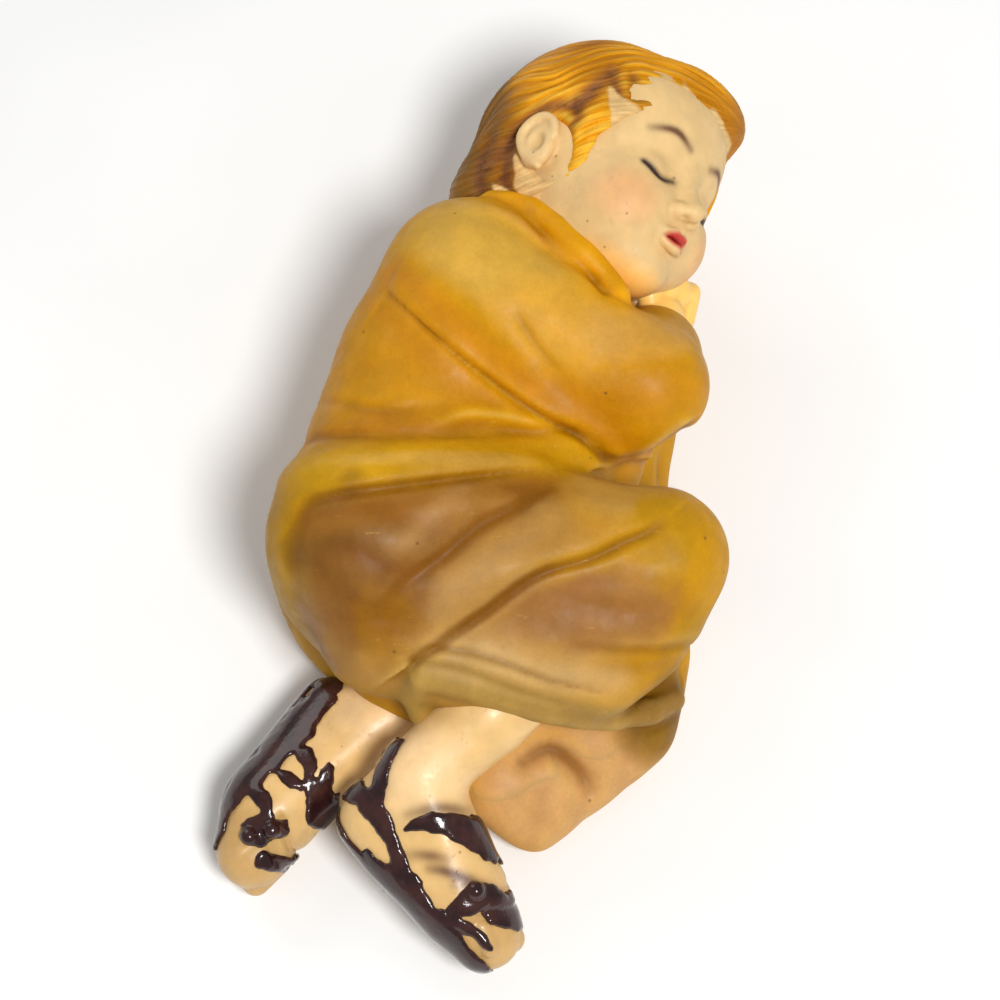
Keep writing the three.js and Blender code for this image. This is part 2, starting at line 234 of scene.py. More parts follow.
class Block:
    """Space cut into cubes. d is the distance from each corner to the surface, negative inside."""

    def __init__(self, low, high, step):
        self.low = np.array(low, np.float32)
        self.step = step
        self.d = np.full(np.ceil((np.array(high) - low) / step).astype(int) + 1, FAR, np.float32)

    def part(self, low, high):
        start = np.clip(np.floor((low - self.low) / self.step), 0, self.d.shape).astype(int)
        stop = np.clip(np.ceil((high - self.low) / self.step) + 1, 0, self.d.shape).astype(int)
        return tuple(slice(a, b) for a, b in zip(start, stop))

    def points(self, part):
        steps = [np.arange(s.start, s.stop, dtype=np.float32) for s in part]
        axes = [low + self.step * count for low, count in zip(self.low, steps)]
        return np.stack(np.meshgrid(*axes, indexing="ij"), -1)

    def around(self, balls, margin):
        balls = np.array(balls, float)
        reach = balls[:, 3:].max() + margin
        return self.part(balls[:, :3].min(0) - reach, balls[:, :3].max(0) + reach)

    def whole(self):
        return tuple(slice(0, n) for n in self.d.shape)

    def join(self, distance, part, blend):
        self.d[part] = soft_min(self.d[part], distance(self.points(part)), blend)

    def cut(self, distance, part, blend):
        self.d[part] = soft_max(self.d[part], -distance(self.points(part)), blend)

    def hull(self, balls, blend):
        self.join(lambda p: hull_distance(p, balls), self.around(balls, FAR), blend)

    def chain(self, balls, blend):
        self.join(lambda p: chain_distance(p, balls), self.around(balls, NEAR), blend)

    def ball(self, centre, half, blend):
        part = self.around([[*centre, max(half)]], NEAR)
        self.join(lambda p: ellipsoid_distance(p, centre, half), part, blend)

    def hollow(self, centre, half, blend):
        part = self.around([[*centre, max(half)]], NEAR)
        self.cut(lambda p: ellipsoid_distance(p, centre, half), part, blend)

    def draw(self, line, width, height, lap=0.0, facing=VIEW):
        """Raises a ridge, or sinks a groove below height 0. lap lifts one side and sinks the other."""
        reach = 2.4 * width + 4 * np.abs(unit(facing))
        ends = np.array(line, float)[:, :3]
        part = self.part(ends.min(0) - reach, ends.max(0) + reach)
        d = self.d[part]
        near = np.abs(d) < 2.5
        weight, side = stroke(self.points(part)[near], line, width, facing)
        d[near] -= weight * (height + lap * side)

    def finer(self):
        """The same surface in cubes a quarter of the size."""
        made = Block(self.low, self.low + 1, self.step / COARSE)
        d = self.d
        for axis in range(3):
            d = np.moveaxis(d, axis, 0)
            at = np.arange((len(d) - 1) * COARSE + 1) / COARSE
            cell = np.minimum(at.astype(int), len(d) - 2)
            t = (at - cell)[:, None, None].astype(np.float32)
            taps = [(-t ** 3 + 2 * t * t - t) / 2, (3 * t ** 3 - 5 * t * t + 2) / 2,
                    (-3 * t ** 3 + 4 * t * t + t) / 2, (t ** 3 - t * t) / 2]
            d = sum(w * d[np.clip(cell + k - 1, 0, len(d) - 1)] for k, w in enumerate(taps))
            d = np.moveaxis(d, 0, axis)
        made.d = np.ascontiguousarray(d, np.float32)
        return made

    def blurred(self, passes):
        d = self.d.copy()
        for _ in range(passes):
            for axis in range(3):
                d = np.moveaxis(d, axis, 0)
                d[1:-1] = (d[:-2] + 2 * d[1:-1] + d[2:]) / 4
                d = np.moveaxis(d, 0, axis)
        return d

    def sample(self, values, p):
        at = (p - self.low) / self.step
        cell = np.clip(at.astype(int), 0, np.array(values.shape) - 2)
        return between_corners(values, cell, at - cell)

    def surface(self):
        grid = openvdb.FloatGrid(FAR)
        grid.copyFromArray(self.d)
        corners, _, quads = grid.convertToPolygons(isovalue=0, adaptivity=0)
        return corners * self.step + self.low, quads

    def hollowness(self, p):
        """Above 0 in grooves and below 0 on ridges, for points on the surface."""
        return -self.sample(self.blurred(HOLLOW_PASSES), p) / self.step


# ---- From a sculpted surface to a piece ----
def srgb(red, green, blue):
    c = np.array([red, green, blue]) / 255
    return np.where(c <= 0.04045, c / 12.92, ((c + 0.055) / 1.055) ** 2.4)


OCHRE = (204, 148, 48)
FLESH = (230, 194, 134)
# The hands' orange flesh, made lighter as painted light, standing in for light falling on them.
LIT_HAND_FLESH = (255, 208, 112)
LEG_FLESH = (232, 190, 124)
GOLD = (230, 150, 2)
BLUSH = (234, 162, 104)
LIP_RED = (198, 60, 48)
BARE_CREAM = (228, 190, 128)


class Tint:
    """Paint laid on a piece's points, one wash over another."""

    def __init__(self, p, base):
        self.p = p
        self.colour = np.tile(srgb(*base), (len(p), 1))

    def wash(self, colour, amount):
        amount = np.clip(amount, 0, 1)[:, None]
        self.colour = self.colour * (1 - amount) + srgb(*colour) * amount

    def patch(self, colour, centre, half, amount=1.0, ragged=0.0, seed=1):
        """A soft-edged patch round a place."""
        q = (self.p - np.array(centre)) / np.array(half)
        worn = ragged * lattice_noise(self.p, min(half) / 2, seed) if ragged else 0
        self.wash(colour, amount * np.clip(1.5 - (q * q).sum(1) + worn, 0, 1))

    def line(self, colour, points, width, amount=1.0, facing=VIEW):
        self.wash(colour, amount * stroke(self.p, points, width, facing)[0])

    def lay(self, washes):
        """Lays washes in turn: a patch where the reach is three half sizes, or else a line."""
        for colour, place, reach, *how in washes:
            wash = self.patch if isinstance(reach, tuple) else self.line
            wash(colour, place, reach, *how)


def add_object(name, data):
    made = bpy.data.objects.new(name, data)
    bpy.context.collection.objects.link(made)
    return made


def piece(name, points, faces, material, nodes, tint=None, masks=None):
    """Adds a sculpted piece that stands for CAD nodes. Its points are in the modelling frame."""
    mesh = bpy.data.meshes.new(name)
    mesh.from_pydata((points + OFFSET) * MM, [], faces)
    mesh.polygons.foreach_set("use_smooth", np.ones(len(mesh.polygons), bool))
    if tint is not None:
        colours = np.ones((len(points), 4), np.float32)
        colours[:, :3] = tint.colour
        mesh.attributes.new("tint", "FLOAT_COLOR", "POINT").data.foreach_set("color", colours.ravel())
    for mask, values in (masks or {}).items():
        kind, field = ("FLOAT", "value") if values.ndim == 1 else ("FLOAT_VECTOR", "vector")
        mesh.attributes.new(mask, kind, "POINT").data.foreach_set(field, values.astype(np.float32).ravel())
    mesh.materials.append(material)
    made = add_object(name, mesh)
    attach(made, "root")
    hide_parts(*nodes)
    return made


# ---- Materials ----
class Paint:
    """A node material, built step by step."""

    def __init__(self, name):
        self.material = bpy.data.materials.new(name)
        self.material.use_nodes = True
        self.tree = self.material.node_tree
        self.shader = self.tree.nodes["Principled BSDF"]
        self.place = self.node("ShaderNodeTexCoord").outputs["Object"]

    def node(self, kind, inputs=None, **settings):
        made = self.tree.nodes.new(kind)
        for key, value in settings.items():
            setattr(made, key, value)
        for key, value in (inputs or {}).items():
            self.put(made.inputs[key], value)
        return made

    def put(self, socket, value):
        if isinstance(value, bpy.types.NodeSocket):
            self.tree.links.new(value, socket)
        else:
            socket.default_value = value

    def set(self, **values):
        for key, value in values.items():
            self.put(self.shader.inputs[key.replace("_", " ")], value)

    def noise(self, size, detail=4.0, roughness=0.55, stretch=(1, 1, 1)):
        """Noise with lumps about size millimetres across, from 0 to 1."""
        at = self.node("ShaderNodeMapping", {"Vector": self.place, "Scale": stretch}).outputs[0]
        inputs = {"Vector": at, "Scale": 1 / (size * MM), "Detail": detail, "Roughness": roughness}
        return self.node("ShaderNodeTexNoise", inputs).outputs["Fac"]

    def soft(self, size, detail, low, high):
        """The middle of the noise, spread from low to high."""
        return self.band(self.noise(size, detail), 0.3, 0.7, low, high)

    def shade(self, colour, value, saturation=1.0):
        """A colour made lighter or darker."""
        inputs = {"Color": colour, "Value": value, "Saturation": saturation}
        return self.node("ShaderNodeHueSaturation", inputs).outputs[0]

    def specks(self, spacing, size):
        """1 in small scattered spots, 0 between them."""
        cells = self.node("ShaderNodeTexVoronoi", {"Vector": self.place, "Scale": 1 / (spacing * MM)})
        near = self.band(cells.outputs["Distance"], size / spacing, 0.6 * size / spacing)
        split = self.node("ShaderNodeSeparateColor", {"Color": cells.outputs["Color"]})
        return self.math("MULTIPLY", near, self.math("GREATER_THAN", split.outputs[0], 0.72))

    def math(self, operation, a, b):
        return self.node("ShaderNodeMath", {0: a, 1: b}, operation=operation).outputs[0]

    def band(self, value, low, high, to_low=0.0, to_high=1.0):
        inputs = {"Value": value, "From Min": low, "From Max": high, "To Min": to_low, "To Max": to_high}
        return self.node("ShaderNodeMapRange", inputs, interpolation_type="SMOOTHSTEP").outputs["Result"]

    def mask(self, name):
        return self.node("ShaderNodeAttribute", attribute_name=name).outputs["Fac"]

    def tint(self):
        return self.node("ShaderNodeAttribute", attribute_name="tint").outputs["Color"]

    def mix(self, amount, a, b):
        made = self.node("ShaderNodeMix", data_type="RGBA", blend_type="MIX")
        self.put(made.inputs["Factor"], amount)
        self.put(made.inputs["A"], a)
        self.put(made.inputs["B"], b)
        return made.outputs["Result"]

    def bump(self, height, depth, under=None):
        inputs = {"Height": height, "Distance": depth * MM, "Strength": 1.0}
        if under is not None:
            inputs["Normal"] = under
        return self.node("ShaderNodeBump", inputs).outputs["Normal"]


def rgba(*colour):
    return (*srgb(*colour), 1.0)


def cloth_paint():
    """Translucent ochre varnish: soft mottling, a pale bloom of fine scratches, and dark specks."""
    paint = Paint("tunic_varnish")
    mottle = paint.soft(3.5, 5, -0.06, 0.06)
    grain = paint.band(paint.noise(0.45, 3, 0.7), 0.3, 0.7, -0.035, 0.035)
    value = paint.math("ADD", paint.math("ADD", mottle, grain), 0.84)
    tone = paint.shade(paint.tint(), value, 1.1)
    scratch = paint.band(paint.noise(0.8, 6, 0.75, (1.0, 0.22, 0.6)), 0.62, 0.74)
    tone = paint.mix(paint.math("MULTIPLY", scratch, 0.3), tone, rgba(236, 190, 96))
    tone = paint.mix(paint.math("MULTIPLY", paint.specks(3.6, 0.28), 0.6), tone, rgba(96, 56, 22))
    rough = paint.soft(2.2, 4, 0.46, 0.66)
    normal = paint.bump(paint.noise(0.6, 4, 0.65), 0.035)
    normal = paint.bump(paint.noise(4.0, 2), 0.25, normal)
    paint.set(Base_Color=tone, Roughness=rough, Normal=normal, Specular_IOR_Level=0.2, Coat_Weight=0.03,
              Coat_Roughness=0.3, Subsurface_Weight=0.3, Subsurface_Scale=0.0014,
              Subsurface_Radius=(1.0, 0.5, 0.15))
    return paint.material


def skin_paint(name, matte):
    """Cream flesh enamel, thinly pitted, with specks of grime."""
    paint = Paint(name)
    tone = paint.shade(paint.tint(), paint.soft(2.6, 4, 0.86, 0.96))
    tone = paint.mix(paint.math("MULTIPLY", paint.specks(2.4, 0.24), 0.55), tone, rgba(120, 82, 44))
    rough = paint.soft(1.6, 4, matte - 0.07, matte + 0.07)
    pits = paint.band(paint.noise(0.7, 5, 0.7), 0.28, 0.42)
    normal = paint.bump(pits, 0.03)
    paint.set(Base_Color=tone, Roughness=rough, Normal=normal, Specular_IOR_Level=0.4,
              Subsurface_Weight=0.2, Subsurface_Scale=0.0009, Subsurface_Radius=(1.0, 0.45, 0.25))
    return paint.material


def hair_paint():
    """Golden ochre brushed along the strands, with a brown wash and painted shade in the grooves, and
    painted highlights on the crests.
    """
    paint = Paint("hair_enamel")
    along = paint.node("ShaderNodeAttribute", attribute_name="strand").outputs["Vector"]
    inputs = {"Vector": along, "Scale": 2.2, "Detail": 5.0, "Roughness": 0.65}
    strands = paint.node("ShaderNodeTexNoise", inputs).outputs["Fac"]
    tone = paint.shade(paint.tint(), paint.band(strands, 0.32, 0.68, 0.74, 1.16))
    rough = paint.soft(1.4, 3, 0.34, 0.5)
    normal = paint.bump(strands, 0.16)
    normal = paint.bump(paint.noise(0.5, 4, 0.65), 0.03, normal)
    paint.set(Base_Color=tone, Roughness=rough, Normal=normal, Specular_IOR_Level=0.08,
              Subsurface_Weight=0.15, Subsurface_Scale=0.0008)
    return paint.material


def sandal_paint():
    """Glossy dark brown enamel, flaked off in places down to the cream beneath."""
    paint = Paint("sandal_enamel")
    worn = paint.math("ADD", paint.mask("worn"), paint.band(paint.noise(1.5, 4, 0.6), 0.0, 1.0, -0.5, 0.5))
    flaked = paint.band(worn, 0.47, 0.53)
    dark = paint.mix(paint.soft(2.5, 3, 0, 1), rgba(38, 17, 18), rgba(62, 34, 30))
    tone = paint.mix(flaked, dark, rgba(218, 182, 122))
    rough = paint.band(flaked, 0, 1, 0.16, 0.5)
    normal = paint.bump(paint.math("SUBTRACT", 1.0, flaked), 0.06)
    normal = paint.bump(paint.noise(1.2, 3), 0.08, normal)
    paint.set(Base_Color=tone, Roughness=rough, Normal=normal, Specular_IOR_Level=0.3, Coat_Weight=0.3,
              Coat_Roughness=0.1)
    return paint.material


# ---- The tunic ----
def laid_out(low, high, step, masses):
    """A block of soft masses: hulls of balls, each with its blend, laid out coarsely and then refined."""
    rough = Block(low, high, step * COARSE)
    for balls, blend in masses:
        rough.hull(balls, blend)
    rough.d = rough.blurred(1)
    return rough.finer()


def tunic_block():
    masses = [(balls, 2.5) for balls in TRUNK]
    masses += [(SHOULDERS + COLLAR, 2.5), ([SLEEVE_RIGHT[0], SLEEVE_LEFT[0], *CHEST, COLLAR[1]], 2.5)]
    masses += [(balls, 1.5) for balls in (SLEEVE_LEFT, CUFF_LEFT, THIGHS, SKIRT, DRAPE)]
    masses += [(SLEEVE_RIGHT, 1.0), (CUFF_RIGHT, 2.0)]
    return laid_out(CLOTH_LOW, CLOTH_HIGH, CLOTH_STEP, masses)


# Folds on the side that lies uppermost.
SLEEVE_CREASE = [[12.5, 10.5, 37, 0.1], [11.5, 9.5, 37.5, 0.8], [6, 5, 39.5, 1], [1.5, -0.5, 38, 1],
                 [-2.5, -7.5, 34.5, 1], [-4, -12, 32, 1], [-6, -16.5, 28, 1.2], [-5, -19.5, 25.5, 1]]
ELBOW_LOW = [[-6.5, -16.5, 27, 0.6], [-5.5, -18.5, 26, 1], [-4, -21.5, 26, 1], [-3, -25, 30, 1]]
ARM_FOLD = [[9, -5, 40, 0.1], [7, -6.5, 39, 1], [4.5, -8.5, 37.5, 1], [2, -11, 36.5, 0.2]]
ARM_PUFF = [[3, -8, 38, 0.2], [1.5, -12, 36, 1], [1.5, -17, 35, 0.8], [2, -22, 36, 0.2]]
WAIST_TOP = [[0, 18.5, 30, 0.6], [-0.5, 17, 33, 1], [-3.5, 13, 38, 1], [-4, 8.5, 38.5, 1],
             [-3, 3, 37.5, 0.1]]
WAIST_LENS = [[-5.5, 5, 37.5, 0.1], [-3.8, 1, 37, 1], [-3.5, -1.5, 36.5, 1], [-3.5, -4.5, 35.5, 0.9],
              [-4.2, -9, 33, 0.2]]
WAIST_GROOVE = [[-6.5, 4.5, 37.5, 0.2], [-5.3, 0, 36.5, 1], [-5, -4.5, 35, 1], [-5, -9, 33, 0.2]]
RIDGE = [[-8, 23.5, 27, 0.5], [-10, 22, 32.5, 0.8], [-11, 18, 38, 1], [-11.5, 12, 40.5, 1],
         [-10.5, 5.5, 39, 1], [-9, -1.5, 35, 1.2], [-7.5, -8.5, 32, 1.4], [-6.5, -12.5, 30.5, 1.5],
         [-7, -15.5, 28, 0.8]]
RIDGE_TOP = [[-5.5, 19.5, 32, 0.5], [-6.5, 18, 35.5, 0.8], [-8, 9.5, 39.5, 0.8], [-6.6, 1, 36, 0.8],
             [-4.8, -7, 33.5, 0.8], [-4, -11, 32, 1], [-4.2, -14, 30.5, 1], [-5.5, -16.5, 27.5, 1]]
BAND_LOW = [[-17.5, 21, 36, 0.2], [-16, 18.5, 39.5, 0.6], [-15.5, 13, 41, 1], [-14.5, 7, 40.5, 1],
            [-12.5, 0, 38, 1], [-11, -5, 36, 0.6], [-9.5, -9, 33.5, 0.1]]
FOLD_UPPER = [[-12, -10.5, 36, 0.2], [-14.5, -7.5, 37.5, 0.8], [-16.5, -5.5, 38.5, 1], [-18.5, -2, 39, 1],
              [-20, 0, 39, 1], [-22.5, 3, 38.5, 1], [-25, 7, 37.5, 0.5], [-28, 11, 35.5, 0.2]]
FOLD_MIDDLE = [[-17, -23, 35.5, 0.2], [-18.5, -21, 35.5, 0.7], [-20, -18, 36, 0.9], [-22, -14, 36, 1],
               [-23.5, -9, 36, 1], [-25, -6, 35.5, 1], [-27.5, -2, 33.5, 1], [-29.5, 1, 33, 1],
               [-31.5, 4, 32, 1], [-33, 6.5, 31, 1]]
FOLD_LOWER = [[-28.5, -27.5, 22, 1], [-29, -26, 25, 1], [-30.5, -21.5, 27.5, 1], [-31, -16, 29.5, 0.8],
              [-31, -12, 30.5, 0.1]]
HIP_FOLDS = [
    [[-16.5, 14, 40.5, 0.1], [-18.5, 9, 40.5, 1], [-19, 4, 40, 0.8], [-17.5, 0, 39.5, 0.1]],
    [[-20, 17, 38, 0.1], [-23, 12, 39, 1], [-24.5, 7.5, 38.5, 0.8], [-24.5, 4, 38, 0.1]],
    [[-24.5, 16.5, 36.5, 0.1], [-28, 12, 35, 1], [-29.5, 8, 34, 0.6]],
    [[-21, -11, 37, 0.1], [-20, -7, 38, 0.7], [-22, -3, 38, 0.7], [-25, 0.5, 36.5, 0.1]],
]
HIP_EDGE = [[-15.5, 19, 39, 0.3], [-18.5, 20, 38, 0.8], [-22.5, 21, 35, 1], [-27, 20, 28, 1],
            [-31.5, 17.5, 25, 0.8]]
SKIRT_FOLDS = [
    [[-26, -23, 31, 0.1], [-27, -18, 32, 1], [-26.5, -12, 34, 0.6]],
    [[-33.5, -20, 24, 0.1], [-34, -14, 26, 0.8], [-33.5, -8, 29, 0.5]],
]
COLLAR_RIDGE = [[24, 0.5, 36, 0.2], [23, -4.5, 36, 1], [21, -8, 34.5, 1], [19, -11, 34, 0.9],
                [14, -14, 35, 0.3]]
COLLAR_WELT = [[24.3, -1, 37, 0.1], [23.5, -3, 36.5, 1], [21.6, -6, 36, 1], [19.5, -9, 34.5, 0.8],
               [17, -11, 36, 0.1]]
COLLAR_ROLL = [[28, -2.5, 31, 1.5], [27, -4.5, 32.3, 1.7], [25.3, -7.5, 33.2, 2.0],
               [22.2, -10.6, 34.6, 2.0], [18.7, -13.6, 34.8, 2.0], [16, -16.2, 33.6, 1.9],
               [13.5, -18, 34, 1.5]]
COLLAR_VALLEY = [[24.5, -4, 34.5, 0.6], [21.8, -9, 33.5, 1], [18, -13.5, 33, 1], [13, -16, 35.5, 0.8]]
HEM = [[-36.5, 6, 21.5, 1.6], [-34.8, 6.8, 24.5, 1.9], [-34, 5.6, 28.3, 2.0], [-34.2, 3.5, 28.3, 1.9],
       [-35, 0, 28, 1.8], [-36, -4.5, 26, 1.8], [-36.5, -9, 23.5, 1.8], [-36.3, -13, 20.5, 1.8],
       [-35.5, -17.5, 17, 1.8], [-33.5, -22, 13, 1.8], [-31, -25, 10, 1.6]]
HEM_EDGE = [[-31.8, 7, 30.5, 0.2], [-31.6, 4.5, 31.5, 1], [-32.2, 0.5, 31.5, 1], [-33, -4, 30, 1],
            [-34, -9, 27, 1], [-34.2, -13.5, 24, 0.8], [-34, -17, 21, 0.1]]
DRAPE_HOLLOW = [[-40, -6.5, 13, 0.6], [-38.5, -9.5, 13, 1], [-40, -12.5, 11.5, 1], [-42.5, -14.5, 9.5, 0.4]]
DRAPE_FOLDS = [
    [[-40, -9, 12, 0.2], [-44, -8, 9, 1], [-48, -7, 5, 0.6]],
    [[-38, -15, 13, 0.2], [-42, -14, 9.5, 1], [-45, -13.5, 6, 0.6]],
    [[-34, -19, 14, 0.2], [-38, -19, 11, 1], [-41, -18.5, 7, 0.6]],
]

# Folds on the back and the front.
BACK_FOLDS = [
    [[15, 9.5, 26, 0.2], [6, 13, 23, 1], [-4, 18, 20, 1], [-13, 23, 18, 0.4]],
    [[13, 9.5, 15, 0.2], [3, 13.5, 13, 1], [-8, 19, 10, 1], [-18, 24, 9, 0.6]],
    [[-8, 20, 27, 0.2], [-17, 24, 23, 1], [-25, 23, 17, 1], [-31, 18, 12, 0.4]],
    [[-13, 23, 14, 0.2], [-20, 24, 8, 1], [-26, 21, 4, 0.8]],
]
FRONT_FOLDS = [
    [[-6, -20, 22, 0.2], [-14, -28, 20, 1], [-23, -29, 17, 0.6]],
    [[-9, -20, 14, 0.2], [-17, -27, 12, 1], [-27, -28, 9, 0.8]],
    [[6, -23, 10, 0.2], [0, -25, 8, 1], [-6, -22, 6, 0.4]],
]

# How each fold is drawn, in order: its line, width, height, lap and the direction it is seen from.
TOP_FOLDS = [
    (SLEEVE_CREASE, 3.2, 0.2, 1.1), (SLEEVE_CREASE, 0.6, -0.8), (ELBOW_LOW, 1.6, -0.5, 1.2),
    (ARM_FOLD, 0.8, -0.35, 0.3), (ARM_PUFF, 3.0, 0.5), (WAIST_TOP, 0.8, -0.4), (WAIST_LENS, 0.9, 0.55),
    (WAIST_GROOVE, 0.9, -0.35), (RIDGE_TOP, 0.9, -0.6, -0.3), (RIDGE, 2.1, 1.0), (BAND_LOW, 2.0, 0.0, 0.7),
    (BAND_LOW, 0.7, -0.6), (FOLD_UPPER, 2.8, -1.3), (FOLD_UPPER, 0.8, -0.5), (FOLD_MIDDLE, 3.4, 0.0, -1.0),
    (FOLD_MIDDLE, 0.75, -0.85), (FOLD_LOWER, 2.6, 0.0, -0.5), (FOLD_LOWER, 0.7, -0.5),
    *[(fold, 1.8, -0.35) for fold in HIP_FOLDS], *[(fold, 1.6, -0.4) for fold in SKIRT_FOLDS],
    (HIP_EDGE, 1.4, -0.45),
]
COLLAR_FOLDS = [(COLLAR_RIDGE, 1.1, 0.7), (COLLAR_VALLEY, 0.9, -0.6), (COLLAR_WELT, 0.6, 0.45)]
SIDE_FOLDS = [*[(fold, 2.4, -1.3, 0.6, (0.1, 1, 0.1)) for fold in BACK_FOLDS],
              *[(fold, 2.0, -1.1, 0.5, (-0.2, -1, 0.1)) for fold in FRONT_FOLDS]]
EDGE_FOLDS = [(HEM_EDGE, 1.8, 0.0, -0.5), (HEM_EDGE, 0.7, -0.35), (DRAPE_HOLLOW, 1.4, -1.9),
              *[(fold, 1.6, -0.5) for fold in DRAPE_FOLDS]]


def sculpt_folds(cloth):
    for fold in TOP_FOLDS:
        cloth.draw(*fold)
    cloth.chain(COLLAR_ROLL, 1.2)
    for fold in COLLAR_FOLDS + SIDE_FOLDS:
        cloth.draw(*fold)
    cloth.chain(HEM, 0.9)
    for fold in EDGE_FOLDS:
        cloth.draw(*fold)


def node_box(name):
    """A CAD node's lowest and highest corners in the modelling frame."""
    return [np.array(corner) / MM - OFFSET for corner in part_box(name)]


def cavity(cloth, p):
    trunk = laid_out(cloth.low, CLOTH_HIGH, CLOTH_STEP, [(balls, 2.5) for balls in TRUNK])
    return np.maximum(trunk.d + WALL, FLOOR_TOP - p[..., 2])


def fitting_hole(p, node):
    """A round hole from front to back, level with the air stone, for a fitting in the tunic's side."""
    low, high = node_box(node)
    off_axis = np.hypot(p[..., 0] - AIR_STONE[0], p[..., 2] - AIR_STONE[2]) - (high[0] - low[0]) / 2
    along = np.abs(p[..., 1] - (low[1] + high[1]) / 2) - (high[1] - low[1]) / 2 - FITTING_GAP
    return np.maximum(off_axis, along)


def hatch_hole(p):
    turn = math.radians(HATCH_TURN)
    low, high = node_box("hatch_plate")
    turned = [[math.cos(turn), -math.sin(turn)], [math.sin(turn), math.cos(turn)]]
    across = (p[..., :2] - ((low + high) / 2)[:2]) @ turned
    oval = (np.hypot(across[..., 0] / PLATE_HALF[0], across[..., 1] / PLATE_HALF[1]) - 1) * PLATE_HALF[1]
    return np.maximum(oval, p[..., 2] - high[2] - HATCH_GAP)


def pad_hole(p, node):
    low, high = node_box(node)
    x, y, _ = (low + high) / 2
    return np.maximum(np.hypot(p[..., 0] - x, p[..., 1] - y) - (high[0] - low[0]) / 2, p[..., 2] - high[2])


def open_for_fittings(cloth):
    """Hollows the body, and opens the places where the fittings, the hatch and the pads go in."""
    p = cloth.points(cloth.whole())
    openings = [cavity(cloth, p), fitting_hole(p, "airline_socket"), fitting_hole(p, "bubble_port"),
                hatch_hole(p), *[pad_hole(p, f"rubber_pad_{n}") for n in range(1, 5)]]
    for opening in openings:
        cloth.d = soft_max(cloth.d, -opening, 0.3).astype(np.float32)


def cut_at(points, faces, height, keep_above):
    """Cuts a mesh with a level plane, keeps one side and closes it."""
    mesh = bpy.data.meshes.new("cut")
    mesh.from_pydata(points, [], faces)
    work = bmesh.new()
    work.from_mesh(mesh)
    geometry = work.verts[:] + work.edges[:] + work.faces[:]
    made = bmesh.ops.bisect_plane(work, geom=geometry, plane_co=(0, 0, height), plane_no=(0, 0, 1),
                                  clear_inner=keep_above, clear_outer=not keep_above)
    rim = [e for e in made["geom_cut"] if isinstance(e, bmesh.types.BMEdge)]
    bmesh.ops.triangle_fill(work, use_beauty=False, use_dissolve=False, edges=rim,
                            normal=(0, 0, -1 if keep_above else 1))
    work.to_mesh(mesh)
    work.free()
    made_points = np.zeros(len(mesh.vertices) * 3, np.float32)
    mesh.vertices.foreach_get("co", made_points)
    made_faces = [tuple(f.vertices) for f in mesh.polygons]
    bpy.data.meshes.remove(mesh)
    return made_points.reshape(-1, 3), made_faces


# The tunic's washes, painted highlights and painted shade among them, in the order they are laid: colour,
# place, reach, amount, raggedness and its seed.
SLEEVE_WASHES = [
    ((204, 140, 6), (4, 12, 34), (14, 12, 16), 0.9),
    ((190, 146, 46), (12, 9, 30), (8, 6, 14), 0.5),
    # Paler tan over the top of the shoulder: pale paint with a painted highlight.
    ((218, 174, 92), (17, -3, 38), (9, 12, 12), 1.0),
    ((224, 172, 88), (6, -9, 38), (7, 9, 7), 0.9),
    ((218, 170, 104), (7, -20, 36), (6, 7, 7), 0.7),
    # Deeper orange beside the sleeve crease, where the roll turns under: orange pigment with painted shade.
    ((206, 132, 4), shifted(SLEEVE_CREASE, (2, -1, 0), 1), 2.6, 0.95),
    ((204, 134, 8), [[0, -12, 34, 0.8], [-0.5, -17, 34, 1], [0, -22, 35, 1], [1, -26, 34, 0.7]], 3.8, 0.9),
    # The same on the crease's other side: orange pigment with painted shade.
    ((206, 136, 4), shifted(SLEEVE_CREASE[:5], (-2, 1.5, 0), 1), 2.6, 0.8),
    # A thin painted highlight along the lower edge of the sleeve crease.
    ((250, 196, 104), shifted(SLEEVE_CREASE[1:6], (-0.6, -0.4, 0)), 0.26, 0.9),
]
WAIST_WASHES = [
    # Painted shade along the waist fold.
    ((166, 100, 22), [[-5.5, 18, 33, 1], [-6, 12, 38, 1], [-6, 6, 38, 1], [-5.2, 0, 37, 0.6]], 1.8, 0.85),
    # A painted highlight on the small lens-shaped fold.
    ((214, 164, 74), WAIST_LENS, 0.7, 0.8),
    ((202, 148, 22), shifted(RIDGE, (-0.5, 0, 0), 1), 3.0, 0.9),
    # A painted highlight along the top of the ridge.
    ((236, 190, 112), [*RIDGE[2:6], [-7.5, -8.5, 32, 0.1]], 1.1, 0.9),
    ((198, 148, 8), [[-13, 20, 36, 1], [-12.8, 18.5, 38.5, 1], [-14.3, 12.5, 41, 1], [-13.3, 6, 40, 0.4]],
     2.2, 0.9),
]
HIP_WASHES = [
    ((176, 128, 24), (-21, 23, 27), (12, 4.5, 17), 0.9),
    ((174, 130, 72), (-21, -2, 37), (11, 15, 11), 0.85),
    ((180, 136, 80), (-29, 2, 29), (10, 24, 14), 0.95),
    ((176, 138, 70), (-24, 21.5, 27), (7, 5, 9), 0.8),
    ((152, 110, 66), (-28.5, 16.5, 31), (5.5, 5, 8), 0.85),
    ((112, 70, 32), (-21.5, 12.5, 39), (7, 9, 9), 1.0, 0.3, 41),
    ((132, 86, 44), (-26.5, 11, 36), (6, 7, 9), 0.95, 0.3, 42),
    ((160, 116, 70), (-19, 6, 40), (3.6, 5, 6), 0.6),
    ((148, 98, 48), shifted(BAND_LOW[1:], (-2.6, 0, 0), 1), 2.2, 0.95),
    ((158, 104, 8), shifted(BAND_LOW[2:6], (0.7, 0, 0)), 0.6, 0.9),
]
